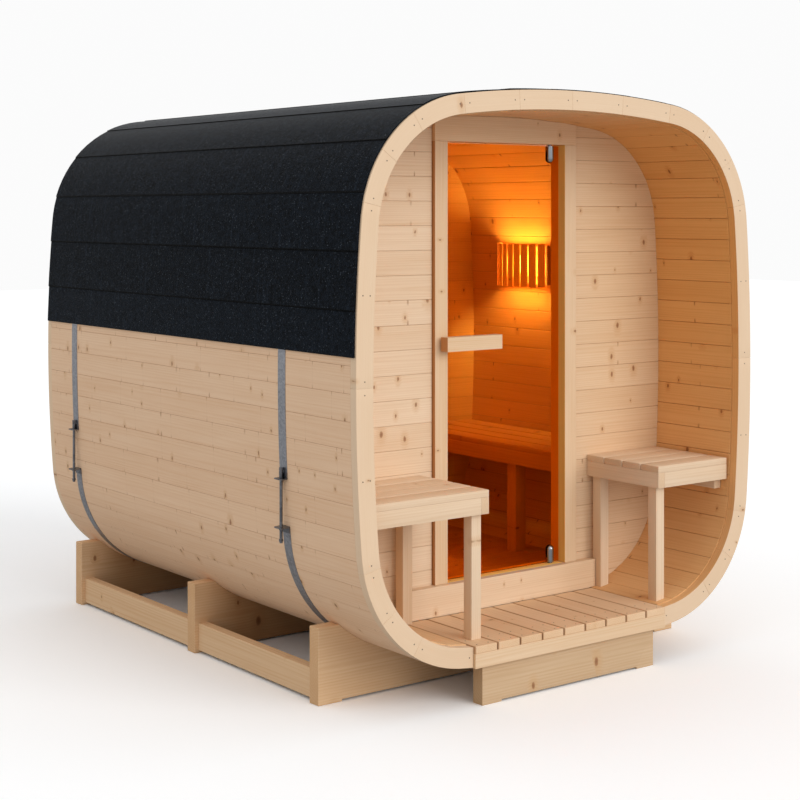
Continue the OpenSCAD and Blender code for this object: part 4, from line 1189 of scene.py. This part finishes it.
# steel hoops, bent round the shell under the roofing
hoop = {"depth": 0.002, "chamfer": 0.0005, "high": 0.847, "low": 0.670, "steps": 130}
hoopLow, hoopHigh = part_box("hoop_front")
hoopBlank = lengthBlank("hoop_blank", hoop["depth"], hoopHigh.y - hoopLow.y, hoop["chamfer"], hoop["steps"],
                        lift=hoop["depth"])
hoopSpans = ((girthAt(3, 2, hoop["high"]) - wholeGirth, girthAt(2, 2, hoop["high"])),
             (girthAt(2, 2, hoop["low"]), girthAt(3, 2, hoop["low"])))
for name, node in (("hoop_front_band", "hoop_front"), ("hoop_rear_band", "hoop_rear")):
    plan = planPoints(name + "_plan", [((a + b) / 2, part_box(node)[1].y, 0.0) for a, b in hoopSpans],
                      length=[b - a for a, b in hoopSpans])
    grow(name, ringSegments, zinc, "galvanised_steel", {
        **outer, "Blank": hoopBlank, "Plan": plan, "Gap": 0.0, "Seed": 1}, [node])
for side in ("left", "right"):
    screws = roundedCopy("tensioner_screws_" + side, "tensioners_" + side, 0.0006)
    finishPiece(screws, castSteel, "galvanised_steel", ["tensioners_" + side])

# roofing strips, each lapping the one below
roofing = {"fullStrips": 15, "eavesShare": 0.77, "level": 1.335, "lap": 0.0070, "thin": 0.0040,
           "ridge": 0.0045, "lift": 0.0022, "steps": 5, "seed": 27, "ease": 0.0008}
roofLow, roofHigh = boxOf("roofing_left", "roofing_right", "roofing_top")
roofStart = girthAt(0, 2, roofing["level"])
stripPitch = (2 * quarterGirth - 2 * roofStart) / (roofing["fullStrips"] + 2 * roofing["eavesShare"])
eavesWidth = stripPitch * roofing["eavesShare"]
sideCount = (roofing["fullStrips"] - 1) // 2
sideStart, ridgeStart = roofStart + eavesWidth, roofStart + eavesWidth + sideCount * stripPitch
leftStart = ridgeStart + stripPitch
rising, falling = (roofing["ridge"], roofing["thin"]), (roofing["thin"], roofing["lap"])


def roofingBlank(name, width, startHeight, endHeight):
    half, steps, ease = width / 2, roofing["steps"], roofing["ease"]
    rise = endHeight - startHeight
    top = [(-half + ease + (2 * half - 2 * ease) * i / steps, startHeight + rise * i / steps)
           for i in range(steps + 1)]
    under = [(half - 2 * half * i / steps, roofing["lift"]) for i in range(steps + 1)]
    profile = [(-half, startHeight - ease)] + top + [(half, endHeight - ease)] + under
    return boardBlank(name, profile, roofLow.y, roofHigh.y)


for number, (name, first, count, width, heights, replaced) in enumerate((
        ("felt_eaves_right", roofStart, 1, eavesWidth, rising, ()),
        ("felt_right", sideStart, sideCount, stripPitch, rising, ["roofing_right"]),
        ("felt_ridge", ridgeStart, 1, stripPitch, (roofing["ridge"], roofing["ridge"]), ["roofing_top"]),
        ("felt_left", leftStart, sideCount, stripPitch, falling, ["roofing_left"]),
        ("felt_eaves_left", ridgeStart + (sideCount + 1) * stripPitch, 1, eavesWidth, falling, ()))):
    blank = roofingBlank(name + "_blank", width, *heights)
    grow(name, bentBoards, felt, "roofing_felt", {
        **outer, "Blank": blank, "Count": count, "First Girth": first, "Pitch": width,
        "Seed": roofing["seed"] + number}, replaced)
for helper in helpers:
    bpy.data.objects.remove(helper)
print("hoops and roofing made")

# plain studio: even soft light, pale floor that keeps the contact shadow, white backdrop
stage = {"worldLight": 0.80, "backdrop": 0.968, "floorSize": 60.0, "floorTone": 0.54, "floorSeen": 1.12,
         "floorCooler": (1.0, 1.012, 1.024)}  # the last offsets the timber's warm bounce
world = bpy.data.worlds.new("studio")
bpy.context.scene.world = world
world.use_nodes = True
tree = world.node_tree
paths = addNode(tree, "ShaderNodeLightPath").outputs
seen = maths(tree, "ADD", maths(tree, "ADD", paths["Is Camera Ray"], paths["Is Glossy Ray"]),
             paths["Is Transmission Ray"], clamp=True)
level = addNode(tree, "ShaderNodeMapRange", {
    "Value": seen, "To Min": stage["worldLight"], "To Max": stage["backdrop"]}).outputs[0]
plugIn(tree, tree.nodes["Background"], {"Strength": level, "Color": (1.0, 1.0, 1.0, 1.0)})

half = stage["floorSize"] / 2
floorMesh = bpy.data.meshes.new("studio_floor")
floorCorners = [(-half, -half, 0), (half, -half, 0), (half, half, 0), (-half, half, 0)]
floorMesh.from_pydata(floorCorners, [], [(0, 1, 2, 3)])
floorFinish, tree, shader, _ = newFinish("studio_floor", {})
tone = addNode(tree, "ShaderNodeMapRange", {
    "Value": addNode(tree, "ShaderNodeLightPath").outputs["Is Camera Ray"], "To Min": stage["floorTone"],
    "To Max": stage["floorSeen"]}).outputs[0]
cooler = [times(tree, tone, share) for share in stage["floorCooler"]]
floorColour = addNode(tree, "ShaderNodeCombineColor", dict(enumerate(cooler))).outputs[0]
plugIn(tree, shader, {"Base Color": floorColour, "Roughness": 1.0, "Specular IOR Level": 0.0})
floorMesh.materials.append(floorFinish)
addPiece("studio_floor", floorMesh)

sun = {"place": (2.5, -9.0, 5.0), "target": (0.0, 0.0, 1.0), "power": 1.18, "angle": 40}
fill = {"place": (-0.1, -0.1, 1.62), "power": 2.3, "colour": (1.0, 0.5, 0.12), "radius": 0.3}
sunData = bpy.data.lights.new("front_sun", "SUN")
sunData.energy, sunData.angle = sun["power"], math.radians(sun["angle"])
frontSun = addPiece("front_sun", sunData)
frontSun.location = sun["place"]
frontSun.rotation_euler = (Vector(sun["target"]) - Vector(sun["place"])).to_track_quat("-Z", "Y").to_euler()
fillData = bpy.data.lights.new("room_fill", "POINT")
fillData.energy, fillData.color, fillData.shadow_soft_size = fill["power"], fill["colour"], fill["radius"]
roomFill = addPiece("room_fill", fillData)
roomFill.location = fill["place"]
for rays in ("visible_camera", "visible_glossy", "visible_transmission"):
    setattr(roomFill, rays, False)

view = {"lens": 73.37, "shift": -0.2357, "place": (-4.395, -5.921, 1.853), "turn": -37.20}
cameraData = bpy.data.cameras.new("camera")
cameraData.lens, cameraData.sensor_width, cameraData.shift_y = view["lens"], 36.0, view["shift"]
camera = addPiece("camera", cameraData)
camera.location = view["place"]
camera.rotation_euler = (math.radians(90), 0.0, math.radians(view["turn"]))
bpy.context.scene.camera = camera
bpy.context.scene.view_settings.view_transform = "Standard"
print("stage set")

bpy.context.view_layer.update()
